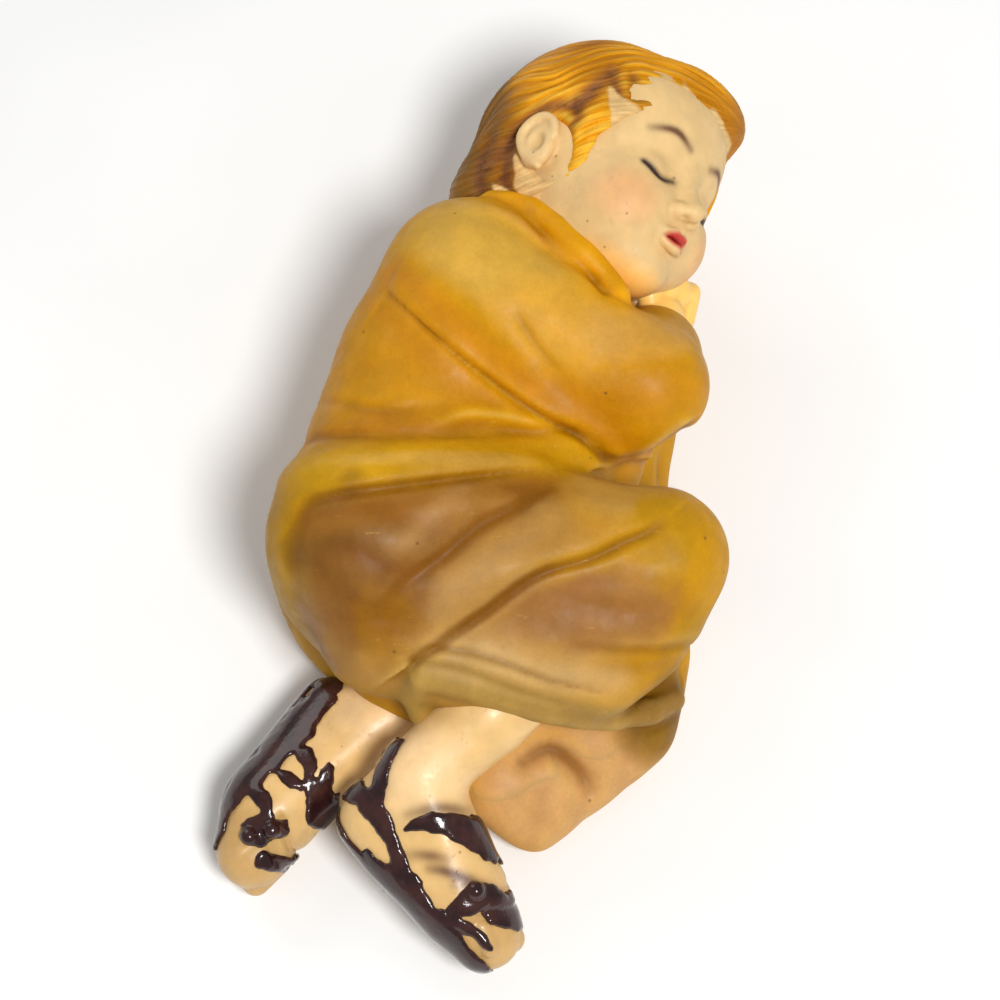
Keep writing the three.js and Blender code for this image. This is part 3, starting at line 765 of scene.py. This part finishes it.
SKIRT_WASHES = [
    # A brown wash with painted shade along the valley of the upper fold.
    ((138, 90, 44), FOLD_UPPER[1:], 1.7, 0.9),
    ((176, 134, 88), [[-14.5, 1, 39, 0.6], [-18.5, 5, 40, 1], [-22.5, 9, 39.5, 0.5]], 1.4, 0.7),
    ((182, 142, 92), [[-18, -9, 38, 0.5], [-22, -4, 38, 1], [-25.5, 1, 36.5, 1], [-29, 5.5, 34, 0.5]],
     2.2, 0.9),
    ((186, 144, 82), (-12.5, -18, 34), (6, 7, 7), 0.9),
    ((184, 136, 38), (-19, -23, 33), (6, 4.5, 8), 0.85, 0.3, 46),
    ((172, 132, 56), (-29, -27, 22), (6, 5, 8), 0.8),
    ((182, 128, 22), FOLD_MIDDLE[:5], 1.6, 0.8),
    # A brown wash with painted shade along the lower half of the middle fold.
    ((132, 86, 40), FOLD_MIDDLE[4:], 1.2, 0.85),
    ((156, 108, 66), (-27, -15, 32), (4.5, 11, 6), 0.85, 0.35, 43),
    ((166, 116, 44), (-29.5, 9.5, 33), (5, 4.2, 6), 0.45, 0.5, 44),
    ((176, 122, 26), [[-31, -25, 24, 0.8], [-32, -20, 27, 1], [-32.5, -15.5, 28.5, 0.5]], 1.5, 0.85),
    # A pale band along the top of the hem: a painted highlight.
    ((214, 178, 124), [[-33.5, -17, 25, 0.7], [-34, -8, 28.5, 1], [-32.5, -1, 31, 1], [-32.5, 4, 31, 0.6]],
     2.4, 0.9),
]
HEM_WASHES = [
    ((164, 130, 74), HEM, 2.2, 0.95),
    # A painted highlight along the upper edge of the hem roll.
    ((214, 178, 116), shifted(HEM[2:8], (0.6, 0, 0.6), 0.9), 0.6, 0.8),
    # A brown wash with painted shade in the crease above the hem.
    ((150, 112, 58), HEM_EDGE, 0.5, 0.6),
    ((214, 168, 118), (-43, -12, 9), (9, 14, 8), 0.95),
    ((122, 84, 28), (-34, -24, 14), (7, 6, 9), 0.9),
]
COLLAR_WASHES = [
    ((222, 162, 62), COLLAR_VALLEY, 2.0, 0.6),
    ((244, 176, 66), COLLAR_ROLL, 2.4, 0.95),
    ((206, 140, 10), shifted(COLLAR_ROLL[1:6], (0, 1.6, 0), 1), 0.9, 0.5),
    # A painted highlight along the collar's welt.
    ((240, 178, 128), COLLAR_WELT, 0.45, 0.9),
    # A brown wash with painted shade in the hollow of the drape.
    ((128, 76, 30), DRAPE_HOLLOW, 0.7, 0.8),
    # A painted highlight along the collar's ridge.
    ((232, 178, 112), COLLAR_RIDGE, 0.8, 0.9),
    ((200, 136, 4), shifted(COLLAR_VALLEY, (1.5, -1.5, 0)), 1.6, 0.85),
]


def tint_cloth(p, hollow):
    tint = Tint(p, OCHRE)
    for washes in (SLEEVE_WASHES, WAIST_WASHES, HIP_WASHES, SKIRT_WASHES, HEM_WASHES, COLLAR_WASHES):
        tint.lay(washes)
    # Darker in the grooves: a brown wash with painted shade.
    tint.wash((130, 80, 14), hollow * 0.55)
    # Paler on the ridges: a painted highlight.
    tint.wash((236, 196, 120), -hollow * 0.5)
    return tint


def make_tunic(material):
    cloth = tunic_block()
    sculpt_folds(cloth)
    cloth.cut(lambda p: p[..., 2] - PAD_HEIGHT, cloth.whole(), 0.6)
    open_for_fittings(cloth)
    points, faces = cloth.surface()
    for name, above in (("tunic_upper", True), ("tunic_lower", False)):
        p, f = cut_at(points, faces, PARTING_Z, above)
        tint = tint_cloth(p, cloth.hollowness(p))
        made = piece(name, p, f, material, [name + "_shell"], tint)
        sharpen_rim(made.data, PARTING_Z)


def sharpen_rim(mesh, height):
    """Keeps the shading of the outside from running round onto a level cut."""
    z = np.array([v.co.z for v in mesh.vertices])
    level = np.abs(z - height * MM) < 1e-6
    edges = np.zeros(len(mesh.edges) * 2, np.int32)
    mesh.edges.foreach_get("vertices", edges)
    sharp = level[edges.reshape(-1, 2)].all(1)
    mesh.attributes.new("sharp_edge", "BOOLEAN", "EDGE").data.foreach_set("value", sharp)


# ---- Head, in its own directions and size ----
HEAD_UP = np.array([math.cos(HEAD_BOW), -math.sin(HEAD_BOW), 0])
LEVEL_FACING = np.array([-math.sin(HEAD_BOW), -math.cos(HEAD_BOW), 0])
FACING = LEVEL_FACING * math.cos(HEAD_TURN) - np.cross(HEAD_UP, LEVEL_FACING) * math.sin(HEAD_TURN)
HEAD_AXES = np.stack([np.cross(HEAD_UP, FACING), HEAD_UP, FACING])


def from_head(p):
    return p * HEAD_SIZE @ HEAD_AXES + HEAD_CENTRE


def to_head(p):
    return (p - HEAD_CENTRE) @ HEAD_AXES.T / HEAD_SIZE


def in_head(line, shrink=1.0):
    """A line or balls in the head's own directions, with the fourth numbers divided by shrink."""
    line = np.array(line, float)
    return np.hstack([to_head(line[:, :3]), line[:, 3:] / shrink])


# Lines of the face, and the ear, in the head's own directions.
BROW = [[2.0, 1.6, 11.5, 0.5], [4.4, 2.5, 11.0, 1], [6.9, 1.7, 9.6, 0.3]]
LASHES = [[2.3, -2.3, 11, 0.6], [4.3, -2.9, 11, 1], [6.4, -2.2, 10, 0.8]]
MOUTH_LINE = [[-2.2, -8.2, 11.6, 0.4], [0, -8.5, 12.4, 1], [2.2, -8.2, 11.6, 0.4]]
UPPER_LIP = [[-2.0, -8.1, 11.1, 0.35], [-0.7, -7.8, 11.9, 0.6], [0, -7.95, 11.95, 0.5],
             [0.7, -7.8, 11.9, 0.6], [2.0, -8.1, 11.1, 0.35]]
LOWER_LIP = [[-1.5, -8.9, 11.2, 0.4], [0, -9.15, 11.8, 0.75], [1.5, -8.9, 11.2, 0.4]]
NOSE = [[0, 0.2, 10.6, 0.8], [0, -3.2, 12.0, 0.9], [0, -4.9, 13.0, 1.15]]
EAR = (11.2, -2.2, -0.8)
EAR_RIM = [(0.2, -2.8, 0.9), (0.7, -1.4, -1.1), (0.9, 0.6, -2.0), (0.9, 2.2, -1.3), (0.8, 3.0, 0.2),
           (0.5, 2.4, 1.5), (0.2, 1.0, 1.9)]  # from the ear's middle


def mirrored(line, side):
    return [[side * x, *rest] for x, *rest in line]


def add_eye(head, side):
    head.ball((side * 4.3, -5.9, 6.9), (4.2, 4.3, 4.2), 2.5)
    head.hollow((side * 4.4, -1.5, 13.3), (2.9, 1.7, 2.7), 2.0)
    head.ball((side * 4.35, -1.8, 8.5), (2.3, 2.0, 2.15), 0.5)
    head.draw(mirrored(LASHES, side), 0.4, -0.18, 0.12, (0, 0, 1))


def add_ear(head, side):
    x, y, z = EAR
    head.ball((side * x, y, z), (1.1, 3.0, 2.1), 0.8)
    rim = [[side * (x + a), y + b, z + c, 0.5] for a, b, c in EAR_RIM]
    head.chain(smooth_line(rim, 3), 0.4)
    head.hollow((side * (x + 1.2), y - 0.2, z + 0.4), (0.9, 1.2, 0.9), 0.5)


def add_nose_and_mouth(head):
    head.chain(NOSE, 1.6)
    for side in (-1, 1):
        head.ball((side * 1.3, -5.3, 12.0), (0.85, 0.75, 0.95), 0.7)
        head.hollow((side * 0.8, -6.1, 12.6), (0.4, 0.35, 0.45), 0.3)
    head.chain(UPPER_LIP, 0.7)
    head.chain(LOWER_LIP, 0.7)
    head.draw(MOUTH_LINE, 0.35, -0.3, 0, (0, 0, 1))


def head_block():
    head = Block((-14.6, -21, -15), (14.6, 15.5, 16), HEAD_STEP)
    head.ball((0, 1.5, -1), (11.2, 12.4, 12.6), 1)
    head.ball((0, -6.2, 3.2), (8.5, 7.6, 8.0), 3)
    head.ball((0, 5.0, 4.6), (8.6, 7, 7.4), 3)
    head.ball((0, -11.8, 7.8), (2.9, 2.3, 3.0), 2.4)
    head.chain(in_head(NECK, HEAD_SIZE), 3)
    for side in (-1, 1):
        add_eye(head, side)
        add_ear(head, side)
    add_nose_and_mouth(head)
    return head


def tint_head(p, hollow):
    tint = Tint(p, FLESH)
    for side in (-1, 1):
        tint.patch(BLUSH, (side * 6, -6.4, 8), (3.4, 3.0, 4), 0.5)
    tint.patch((250, 184, 76), (-4, -16, 0), (12, 4.6, 14), 0.9)
    # Darker in the face's hollows: painted shade.
    tint.wash((176, 120, 66), hollow * 0.35)
    for side in (-1, 1):
        tint.line((112, 74, 46), mirrored(BROW, side), 0.42, 1.3)
        tint.line((52, 30, 24), mirrored(LASHES, side), 0.42, 1.4)
    tint.patch(LIP_RED, (0, -8.45, 12), (1.7, 0.85, 2), 1.0)
    return tint


def make_head(material):
    head = head_block()
    points, faces = head.surface()
    tint = tint_head(points, head.hollowness(points))
    piece("head_with_neck", from_head(points), faces, material, ["head"], tint)


# ---- Hair. The locks swirl out from the whorl at the back. ----
HAIR_CENTRE = (0, 2.6, -2.1)
WHORL = unit([-0.35, -0.4, -0.85])
ACROSS = unit(np.cross(WHORL, [1, 0, 0]))
LOCKS = 13
STRAND_LENGTHS = 14  # how much finer the brushed strands are across than along
HEAD_VIEW = HEAD_AXES @ VIEW
# Grooves and bare cream tips of the hair, in the modelling frame. The tips have half widths.
EAR_GROOVE = [[33, -2, 31.5, 0.6], [34, -4, 34.5, 1], [35.5, -6, 37, 1], [37, -8.5, 38.5, 1],
              [37, -11, 40, 1], [36.8, -13, 40.5, 1], [39, -15, 40.5, 1], [42, -17.5, 40, 0.5]]
HAIR_GROOVES = [
    [[37, -13, 40.5, 1], [35, -13, 40.5, 1], [33.5, -12, 40, 0.6]],
    [[41, -17.5, 40.5, 0.6], [38, -18, 41, 1], [36.5, -18, 41, 0.5]],
    [[41, -20, 40, 0.6], [38, -20.5, 41, 1]],
    [[36, -2.5, 32.5, 0.5], [33.5, -1, 30.5, 1], [30, -1, 31, 1], [27.5, -2.5, 32.5, 0.8]],
    [[33.5, -5, 35, 0.6], [30.5, -4, 33, 1], [28, -4.5, 33, 0.8]],
]
CREAM_TIPS = [
    [[39.5, -17, 41, 0.1], [37.5, -17.4, 41, 0.7], [36, -18.4, 40.5, 1.4], [34.5, -19.4, 39.5, 2.1],
     [33, -20.5, 38.5, 2.4]],
    [[42, -26.5, 37, 0.1], [40.5, -26.5, 37, 0.9], [38, -27, 37.5, 1.3], [36, -27, 37.5, 0.4]],
    [[40, -29.5, 34.5, 0.2], [38, -30.2, 33.5, 1.3], [36, -31.5, 31, 1.4], [34.5, -32, 29.5, 0.3]],
    [[30.5, -2.5, 31, 0.1], [29, -3.5, 31, 0.9], [27, -4.5, 32, 1.3], [26, -6, 32.5, 0.3]],
    [[32.5, -5, 35.5, 0.1], [31, -6, 35, 0.9], [29, -7, 34.5, 1.8], [27, -8.5, 34.5, 2.4],
     [26, -10, 35, 2.4]],
]


def lock_angles(p):
    """The polar angle from the whorl and the turn about it, swaying as the locks do."""
    q = p - np.array(HAIR_CENTRE)
    q = q / np.linalg.norm(q, axis=-1, keepdims=True)
    polar = np.arccos(np.clip(q @ WHORL, -1, 1))
    turn = np.arctan2(q @ ACROSS, q @ np.cross(WHORL, ACROSS))
    sway = 0.07 * np.sin(polar * 4 + 2 * turn) + 0.13 * lattice_noise(p, 7.0, 3)
    return polar, turn + (sway + 0.02 * lattice_noise(p, 2.5, 5))


def lock_height(p):
    """How proud the hair stands: locks that swirl out from the whorl, each split into finer strands."""
    polar, turn = lock_angles(p)
    locks = np.abs(np.cos(turn * LOCKS / 2 + 0.4 * lattice_noise(p, 6.0, 9)))
    strands = np.abs(np.cos(turn * LOCKS * 2 + 0.8 * lattice_noise(p, 5.0, 13)))
    fine = np.abs(np.cos(turn * LOCKS * 4.5 + 0.8 * lattice_noise(p, 4.0, 19)))
    uneven = 0.6 + 0.5 * lattice_noise(p, 5.0, 17)
    settled = np.clip(np.sin(polar) / 0.6, 0, 1)
    return settled * (0.42 * uneven * (locks - 0.6) + 0.2 * (strands - 0.6) + 0.12 * (fine - 0.6))


def hair_block():
    hair = Block((-16.5, -16, -20), (16.5, 19, 15), HEAD_STEP)
    hair.ball(HAIR_CENTRE, (12.7, 13.3, 14.1), 1)
    hair.ball((-1.5, -5, -10), (9, 6.6, 6), 3)
    hair.ball((2.5, 9.6, 8), (6.5, 3.4, 4.2), 3)
    near = np.abs(hair.d) < NEAR
    p = hair.points(hair.whole())[near]
    height = lock_height(p)
    hair.d[near] -= height
    hair.draw(in_head(EAR_GROOVE), 1.0, -0.8, 0.35, HEAD_VIEW)
    for groove in HAIR_GROOVES:
        hair.draw(in_head(groove), 0.75, -0.4, 0.15, HEAD_VIEW)
    face = ellipsoid_distance(p, (0, -6.4, 12.2), (13.6, 12.4, 11.4))
    face = face + 0.6 * height + 0.5 * lattice_noise(p, 3.5, 21)
    hair.d[near] = soft_max(hair.d[near], -face, 0.8)
    for side in (-1, 1):
        hair.hollow((side * 13.6, -3.6, 0.6), (4.6, 5.0, 3.9), 0.8)
    hair.hollow((0, -18, 4), (14, 10.5, 12), 1.0)
    return hair


def tint_hair(points, hollow):
    tint = Tint(points, GOLD)
    # Paler on the crests of the locks: a painted highlight.
    tint.wash((242, 186, 56), -hollow * 1.6)
    tint.wash((172, 104, 8), 0.2 + 0.8 * lattice_noise(points, 4.0, 31))
    tint.patch((142, 86, 10), (-10, -2.5, -7), (7, 7, 5), 0.8)
    tint.patch((126, 88, 34), (-8, 2, -14), (9, 13, 6.5), 0.9, 1.0, 45)
    # Darker in the grooves: a brown wash with painted shade.
    tint.wash((96, 56, 12), hollow * 0.9 - 0.05)
    # The deep grooves darkened: a brown wash with painted shade.
    tint.line((128, 84, 58), in_head(EAR_GROOVE), 0.8, 0.8, HEAD_VIEW)
    for groove in HAIR_GROOVES:
        tint.line((118, 74, 48), in_head(groove), 0.7, 0.8, HEAD_VIEW)
    for tip in CREAM_TIPS:
        half_width, off, _ = beside(points, in_head(tip), HEAD_VIEW)
        tint.wash(BARE_CREAM, (half_width - off + 0.35 * lattice_noise(points, 1.2, 23)) * 3)
    return tint


def make_hair(material):
    hair = hair_block()
    points, faces = hair.surface()
    tint = tint_hair(points, hair.hollowness(points))
    polar, turn = lock_angles(points)
    masks = {"strand": np.stack([np.cos(turn) * STRAND_LENGTHS, np.sin(turn) * STRAND_LENGTHS, polar], 1)}
    piece("hair_locks", from_head(points), faces, material, ["hair"], tint, masks)


# ---- Hands ----
FINGER_RADII = (1.55, 1.55 * 0.95, 1.55 * 0.8)
# Each hand's palm, as two balls, and its fingers: the root, the spread, the reach and the curl.
HANDS = {
    "right_hand": ([[9, -22.2, 25, 4], [15.5, -23.5, 23, 3.4]],
                   ([17, -24.6, 23], [0.2, 1.5, 1.7], [3.0, -0.8, 1.4], [-1.4, 2.0, 1.6])),
    "left_hand": ([[10, -20.6, 8.5, 4], [18, -21.5, 8.5, 3.4]],
                  ([21, -20, 8], [-0.8, 1.5, 1.5], [3.6, 1.8, -0.4], [2, 1.8, 0])),
}


def fingers_from(root, spread, reach, curl):
    made = []
    for n in (-1.5, -0.5, 0.5, 1.5):
        start = np.array(root) + np.array(spread) * n
        joints = (start, start + reach, start + reach + curl)
        made.append([[*joint, radius] for joint, radius in zip(joints, FINGER_RADII)])
    return made


def make_hand(node, palm, fingers, material):
    places = np.array(palm + fingers[0] + fingers[-1])[:, :3]
    block = Block(places.min(0) - 6, places.max(0) + 6, HAND_STEP)
    block.chain(palm, 1.5)
    for finger in fingers:
        block.chain(finger, 0.5)
    points, faces = block.surface()
    hollow = block.hollowness(points)
    tint = Tint(points, LIT_HAND_FLESH)
    # Deeper orange in the hollows between the fingers: painted shade.
    tint.wash((226, 138, 30), hollow * 0.5)
    piece(node + "_skin", points, faces, material, [node], tint)


# ---- Legs, feet and sandals ----
FOOT_RIGHT = {"ankle": [-43.5, 6.5, 18.5, 4.6], "heel": [-47.5, 11.6, 14.5, 4.2],
              "ball": [-56.5, 1.2, 11.5, 5.3], "toe": [-61, -1.8, 9.8, 4.2]}
FOOT_LEFT = {"ankle": [-33, 11, 9.5, 4.3], "heel": [-32, 17.5, 7.5, 4], "ball": [-44.5, 24.8, 7.8, 5.5],
             "toe": [-50, 27.2, 7.4, 4.5]}
CALF_RIGHT = [[-26, -13, 21.5, 5.2], [-36, -2, 21, 5.4]]
CALF_LEFT = [[-27, -3, 10, 4.6], [-31, 5, 10, 4.6]]

# Straps, flakes and edges of the sandals: lines with their half widths.
STRAPS_RIGHT = [
    [[-41, 18.5, 11, 1.0], [-42.5, 16.5, 13.5, 1.5], [-46, 13.5, 19.5, 1.6], [-49, 11, 20, 1.3],
     [-51, 9.6, 18, 1.1], [-53.5, 8.6, 17, 1.0], [-58, 6.3, 16, 1.2], [-61, 3.6, 14.5, 1.3],
     [-64, 1.2, 12.5, 1.5], [-66, -1.5, 11, 1.2]],
    [[-40, 9.5, 21.5, 1.0], [-43.5, 10.8, 22, 1.1], [-47.5, 11.5, 21, 1.1]],
    [[-51, 12.5, 13, 1.2], [-54, 10.6, 13, 2.0], [-58, 8, 12, 2.1], [-62, 5, 11, 2.0], [-65, 1.5, 10, 1.4]],
    [[-50.5, 8, 19.5, 0.5], [-49.7, 4.5, 20.5, 1.3], [-50.5, 1.0, 20, 1.9], [-51.5, -2, 18, 1.9],
     [-52, -4, 15, 1.7]],
    [[-59, 1.5, 16, 1.2], [-58.5, -1.5, 17, 2.0], [-59, -4, 14, 2.0], [-59.5, -5.5, 12, 1.6]],
    [[-60.5, 1.8, 15, 0.9], [-62, -0.8, 14, 0.8], [-63, -2.2, 13, 0.5]],
]
STRAPS_LEFT = [
    [[-29.5, 17.5, 13, 1.6], [-33.5, 20.5, 11.5, 2.1], [-37, 23.3, 12, 2.2], [-40.5, 26, 13.5, 1.9],
     [-42.5, 28.5, 12, 1.9], [-46, 30.8, 10.5, 1.2], [-49, 31.8, 9, 0.9]],
    [[-38.5, 21.5, 13, 0.8], [-40.5, 19.8, 14.5, 1.1], [-42.5, 20.2, 14, 0.8], [-43.8, 18.7, 12, 1.8],
     [-46, 18.3, 10, 2.3]],
    [[-42, 23.3, 14.5, 0.6], [-43, 21, 13.5, 0.8]],
    [[-40.2, 17.5, 14.5, 0.4], [-42.5, 18, 13, 1.0]],
    [[-42, 28.5, 12.5, 1.2], [-44.5, 26, 14, 1.1], [-47, 25, 14, 1.2], [-48.7, 26.2, 13, 1.9],
     [-48.7, 23.8, 13, 1.5]],
    [[-52, 25.3, 11, 1.0], [-52, 23, 8.5, 1.2], [-51.5, 21, 7, 1.2]],
]
SMEARS_RIGHT = [
    [[-55, 5, 18.5, 0.5], [-55.5, 3, 19, 0.9], [-56, 0.5, 17.5, 0.8], [-56.5, -1.5, 16, 0.3]],
    [[-53, 7.5, 18, 0.3], [-53.5, 5, 19, 0.7], [-53.8, 3, 19, 0.4]],
    [[-48.8, 7.5, 20.5, 0.4], [-48.3, 4, 21.5, 0.7], [-48.6, 0, 20.5, 0.7]],
    [[-56.8, 2, 18, 0.4], [-57, -1.5, 17, 0.8], [-57.5, -4, 14, 0.6]],
]
LEGS = {
    "right": {"calf": CALF_RIGHT, "foot": FOOT_RIGHT, "sole": unit((-0.5, 0.66, -0.5)),
              "straps": STRAPS_RIGHT, "buckles": [[-57.3, -0.5, 17.4]], "smears": SMEARS_RIGHT},
    "left": {"calf": CALF_LEFT, "foot": FOOT_LEFT, "sole": unit((0.5, 0.72, -0.3)),
             "straps": STRAPS_LEFT, "buckles": [[-49.3, 27.2, 12.6], [-48.6, 24.4, 13]], "smears": []},
}
TOES = [(1.9, 2.4), (1.5, 2.5), (1.4, 2.2), (1.3, 1.7), (1.2, 1.1)]  # each one's radius and reach
BONE = [(4, 0.3), (7, 1), (11, 0.2)]  # how far behind the toes, and how strong
SOLE_START = 0.72  # how far below the ball of the foot the sole starts, in ball radii
BUCKLE_BALL = 1.15
STRAP_RISE = 0.5
FLAKE = 0.45  # how ragged the enamel's edge is


def foot_block(calf, foot):
    balls = np.array(calf + list(foot.values()))
    masses = [([foot["ankle"], foot["heel"], foot["ball"]], 1.5), ([foot["heel"], foot["ball"]], 1.5),
              ([foot["ball"], foot["toe"]], 1.5)]
    limbs = calf + [foot["ankle"]]
    masses += [(pair, 1.0) for pair in zip(limbs, limbs[1:])]
    return laid_out(balls[:, :3].min(0) - 9, balls[:, :3].max(0) + 9, FOOT_STEP, masses)


def add_toes(block, foot, sole):
    """Five rounded toes, a crease behind them and the bones of the instep."""
    along = unit(np.array(foot["toe"][:3]) - np.array(foot["heel"][:3]))
    across = np.cross(along, sole)
    toe = np.array(foot["toe"][:3])
    for n, (size, reach) in enumerate(TOES):
        start = toe + across * (3.1 - 1.65 * n) - sole * 2.0 - along * 2
        end = start + along * (reach + 2) + sole * 1.3
        block.chain([[*start, size], [*end, size * 0.95]], 0.35)
    top = toe - sole * 3.5
    for back in (0.6, 3.0):
        crease = [[*(top + across * w - along * (back + 0.12 * w * w)), 1] for w in (-4, -2, 0, 2, 4)]
        block.draw(crease, 0.7, -0.45, 0.3, -sole)
    for w in (-1.8, 0.2, 2.0):
        bone = [[*(top + across * w - along * back), strength] for back, strength in BONE]
        block.draw(bone, 0.8, 0.3, 0, -sole)
    return block


def sandal_on(block, foot, sole, straps, buckles):
    """A thin coat of enamel standing on the foot: the sole and the straps, with ragged edges."""
    sandal = Block(block.low, block.low + 1, block.step)
    near = np.abs(block.d) < 1.5
    p = block.points(block.whole())[near]
    ragged = FLAKE * (lattice_noise(p, 1.6, 7) + 0.5 * lattice_noise(p, 0.8, 8))
    down = (p - np.array(foot["ball"][:3])) @ sole
    covered = SOLE_START * foot["ball"][3] - down + 0.6 * ragged
    for strap in straps:
        half_width, off, _ = beside(p, strap)
        covered = np.minimum(covered, off - half_width + ragged)
    skin = block.d[near]
    coat = soft_max(skin - STRAP_RISE, -(skin + 0.35), 0.2)
    sandal.d = np.full(block.d.shape, 1.0, np.float32)
    sandal.d[near] = np.minimum(soft_max(coat, covered, 0.6), 1.0)
    for ball in buckles:
        sandal.ball(ball, [BUCKLE_BALL] * 3, 0.4)
    return sandal


def tint_leg(p, hollow, foot, smears):
    tint = Tint(p, LEG_FLESH)
    # Paler on the rounded crests: a painted highlight.
    tint.wash((240, 206, 150), -hollow * 0.8)
    # Darker in the creases: painted shade.
    tint.wash((196, 142, 72), hollow * 0.9)
    tint.patch((204, 162, 100), foot["toe"][:3], (7, 7, 9), 0.9)
    # Lighter at the ankle: painted light.
    tint.patch((250, 212, 158), foot["ankle"][:3], (6, 6, 9), 0.8)
    for smear in smears:
        tint.line((96, 56, 36), smear, 0.8, 1.1)
    return tint


def make_leg(name, calf, foot, sole, straps, buckles, smears, skin, leather):
    block = add_toes(foot_block(calf, foot), foot, sole)
    points, faces = block.surface()
    tint = tint_leg(points, block.hollowness(points), foot, smears)
    piece(name + "_leg_skin", points, faces, skin, [name + "_leg"], tint)
    points, faces = sandal_on(block, foot, sole, straps, buckles).surface()
    masks = {"worn": 0.25 * lattice_noise(points, 4.0, 11) - 0.12}
    piece(name + "_sandal_enamel", points, faces, leather, [name + "_sandal"], masks=masks)


# ---- The carried-over CAD pieces ----
GRAIN = 0.3
GRAIN_DEPTH = 0.02


def plain_material(name, colour, roughness, metallic):
    paint = Paint(name)
    tone = paint.shade(rgba(*colour), paint.soft(GRAIN * 4, 4, 0.85, 1.15))
    rough = paint.soft(GRAIN * 3, 3, roughness * 0.85, min(1.0, roughness * 1.15))
    normal = paint.bump(paint.noise(GRAIN, 4), GRAIN_DEPTH)
    paint.set(Base_Color=tone, Roughness=rough, Metallic=metallic, Normal=normal)
    return paint.material


# Each material slot's colour, roughness and metal.
FINISHES = {
    "hatch_resin": ((56, 53, 46), 0.6, 0.0),
    "rubber": ((34, 34, 34), 0.85, 0.0),
    "screw_steel": ((190, 193, 196), 0.3, 1.0),
    "ballast_iron": ((105, 108, 112), 0.6, 1.0),
    "fitting_plastic": ((78, 66, 44), 0.5, 0.0),
    "barb_plastic": ((212, 212, 204), 0.35, 0.0),
    "airline_silicone": ((200, 208, 205), 0.3, 0.0),
    "stone": ((136, 150, 164), 0.95, 0.0),
}


def finish_frame_pieces():
    made = {slot: plain_material(slot, *finish) for slot, finish in FINISHES.items()}
    for part in frame["record"]["subparts"]:
        if part["material_slot"] in made:
            node = frame["nodes"][part["node"]]
            node.data.materials.clear()
            node.data.materials.append(made[part["material_slot"]])


# ---- Stage ----
CAMERA_TARGET = np.array([-8.1, -3.4, 20.0])
CAMERA_DISTANCE = 350.0
CAMERA_AZIMUTH = math.radians(-90)
CAMERA_ELEVATION = math.radians(68)
CAMERA_LENS = 100.8


# Each light's place and size in metres, and its power.
LIGHTS = {"key": ((-0.26, -0.14, 0.56), 0.16, 3.3), "fill": ((0.4, 0.3, 0.4), 0.4, 0.8)}
AMBIENT = 0.36
FLOOR_HALF = 3.0


def aim(made, direction):
    made.rotation_mode = "QUATERNION"
    made.rotation_quaternion = Vector(direction).to_track_quat("-Z", "Y")


def add_camera():
    level = math.cos(CAMERA_ELEVATION)
    back = np.array([math.sin(CAMERA_AZIMUTH) * level, -math.cos(CAMERA_AZIMUTH) * level,
                     math.sin(CAMERA_ELEVATION)])
    camera = add_object("camera", bpy.data.cameras.new("camera"))
    camera.data.lens = CAMERA_LENS
    camera.data.clip_start = 0.01
    camera.location = (CAMERA_TARGET + OFFSET + back * CAMERA_DISTANCE) * MM
    aim(camera, -back)
    bpy.context.scene.camera = camera


def add_light(name, place, size, power):
    light = add_object(name, bpy.data.lights.new(name, "AREA"))
    light.data.shape = "DISK"
    light.data.size = size
    light.data.energy = power
    light.location = place
    aim(light, -Vector(place))


def add_floor():
    paint = Paint("floor_paint")
    tone = paint.mix(paint.soft(60, 2, 0, 1), (0.86, 0.86, 0.85, 1), (0.9, 0.9, 0.89, 1))
    paint.set(Base_Color=tone, Roughness=0.9)
    mesh = bpy.data.meshes.new("floor")
    corners = [(x * FLOOR_HALF, y * FLOOR_HALF, 0) for x, y in ((-1, -1), (1, -1), (1, 1), (-1, 1))]
    mesh.from_pydata(corners, [], [(0, 1, 2, 3)])
    mesh.materials.append(paint.material)
    add_object("floor", mesh)


def studio_world():
    world = bpy.data.worlds.new("studio")
    world.use_nodes = True
    background = world.node_tree.nodes["Background"].inputs
    background["Color"].default_value = (1, 1, 1, 1)
    background["Strength"].default_value = AMBIENT
    return world


def add_stage():
    add_floor()
    for name, light in LIGHTS.items():
        add_light(name, *light)
    bpy.context.scene.world = studio_world()
    bpy.context.scene.view_settings.view_transform = "Standard"


add_camera()
add_stage()
make_tunic(cloth_paint())
skin = skin_paint("skin_enamel", 0.36)
leather = sandal_paint()
make_head(skin_paint("face_enamel", 0.56))
make_hair(hair_paint())
for node, (palm, fingers) in HANDS.items():
    make_hand(node, palm, fingers_from(*fingers), skin)
for name, leg in LEGS.items():
    make_leg(name, skin=skin, leather=leather, **leg)
finish_frame_pieces()
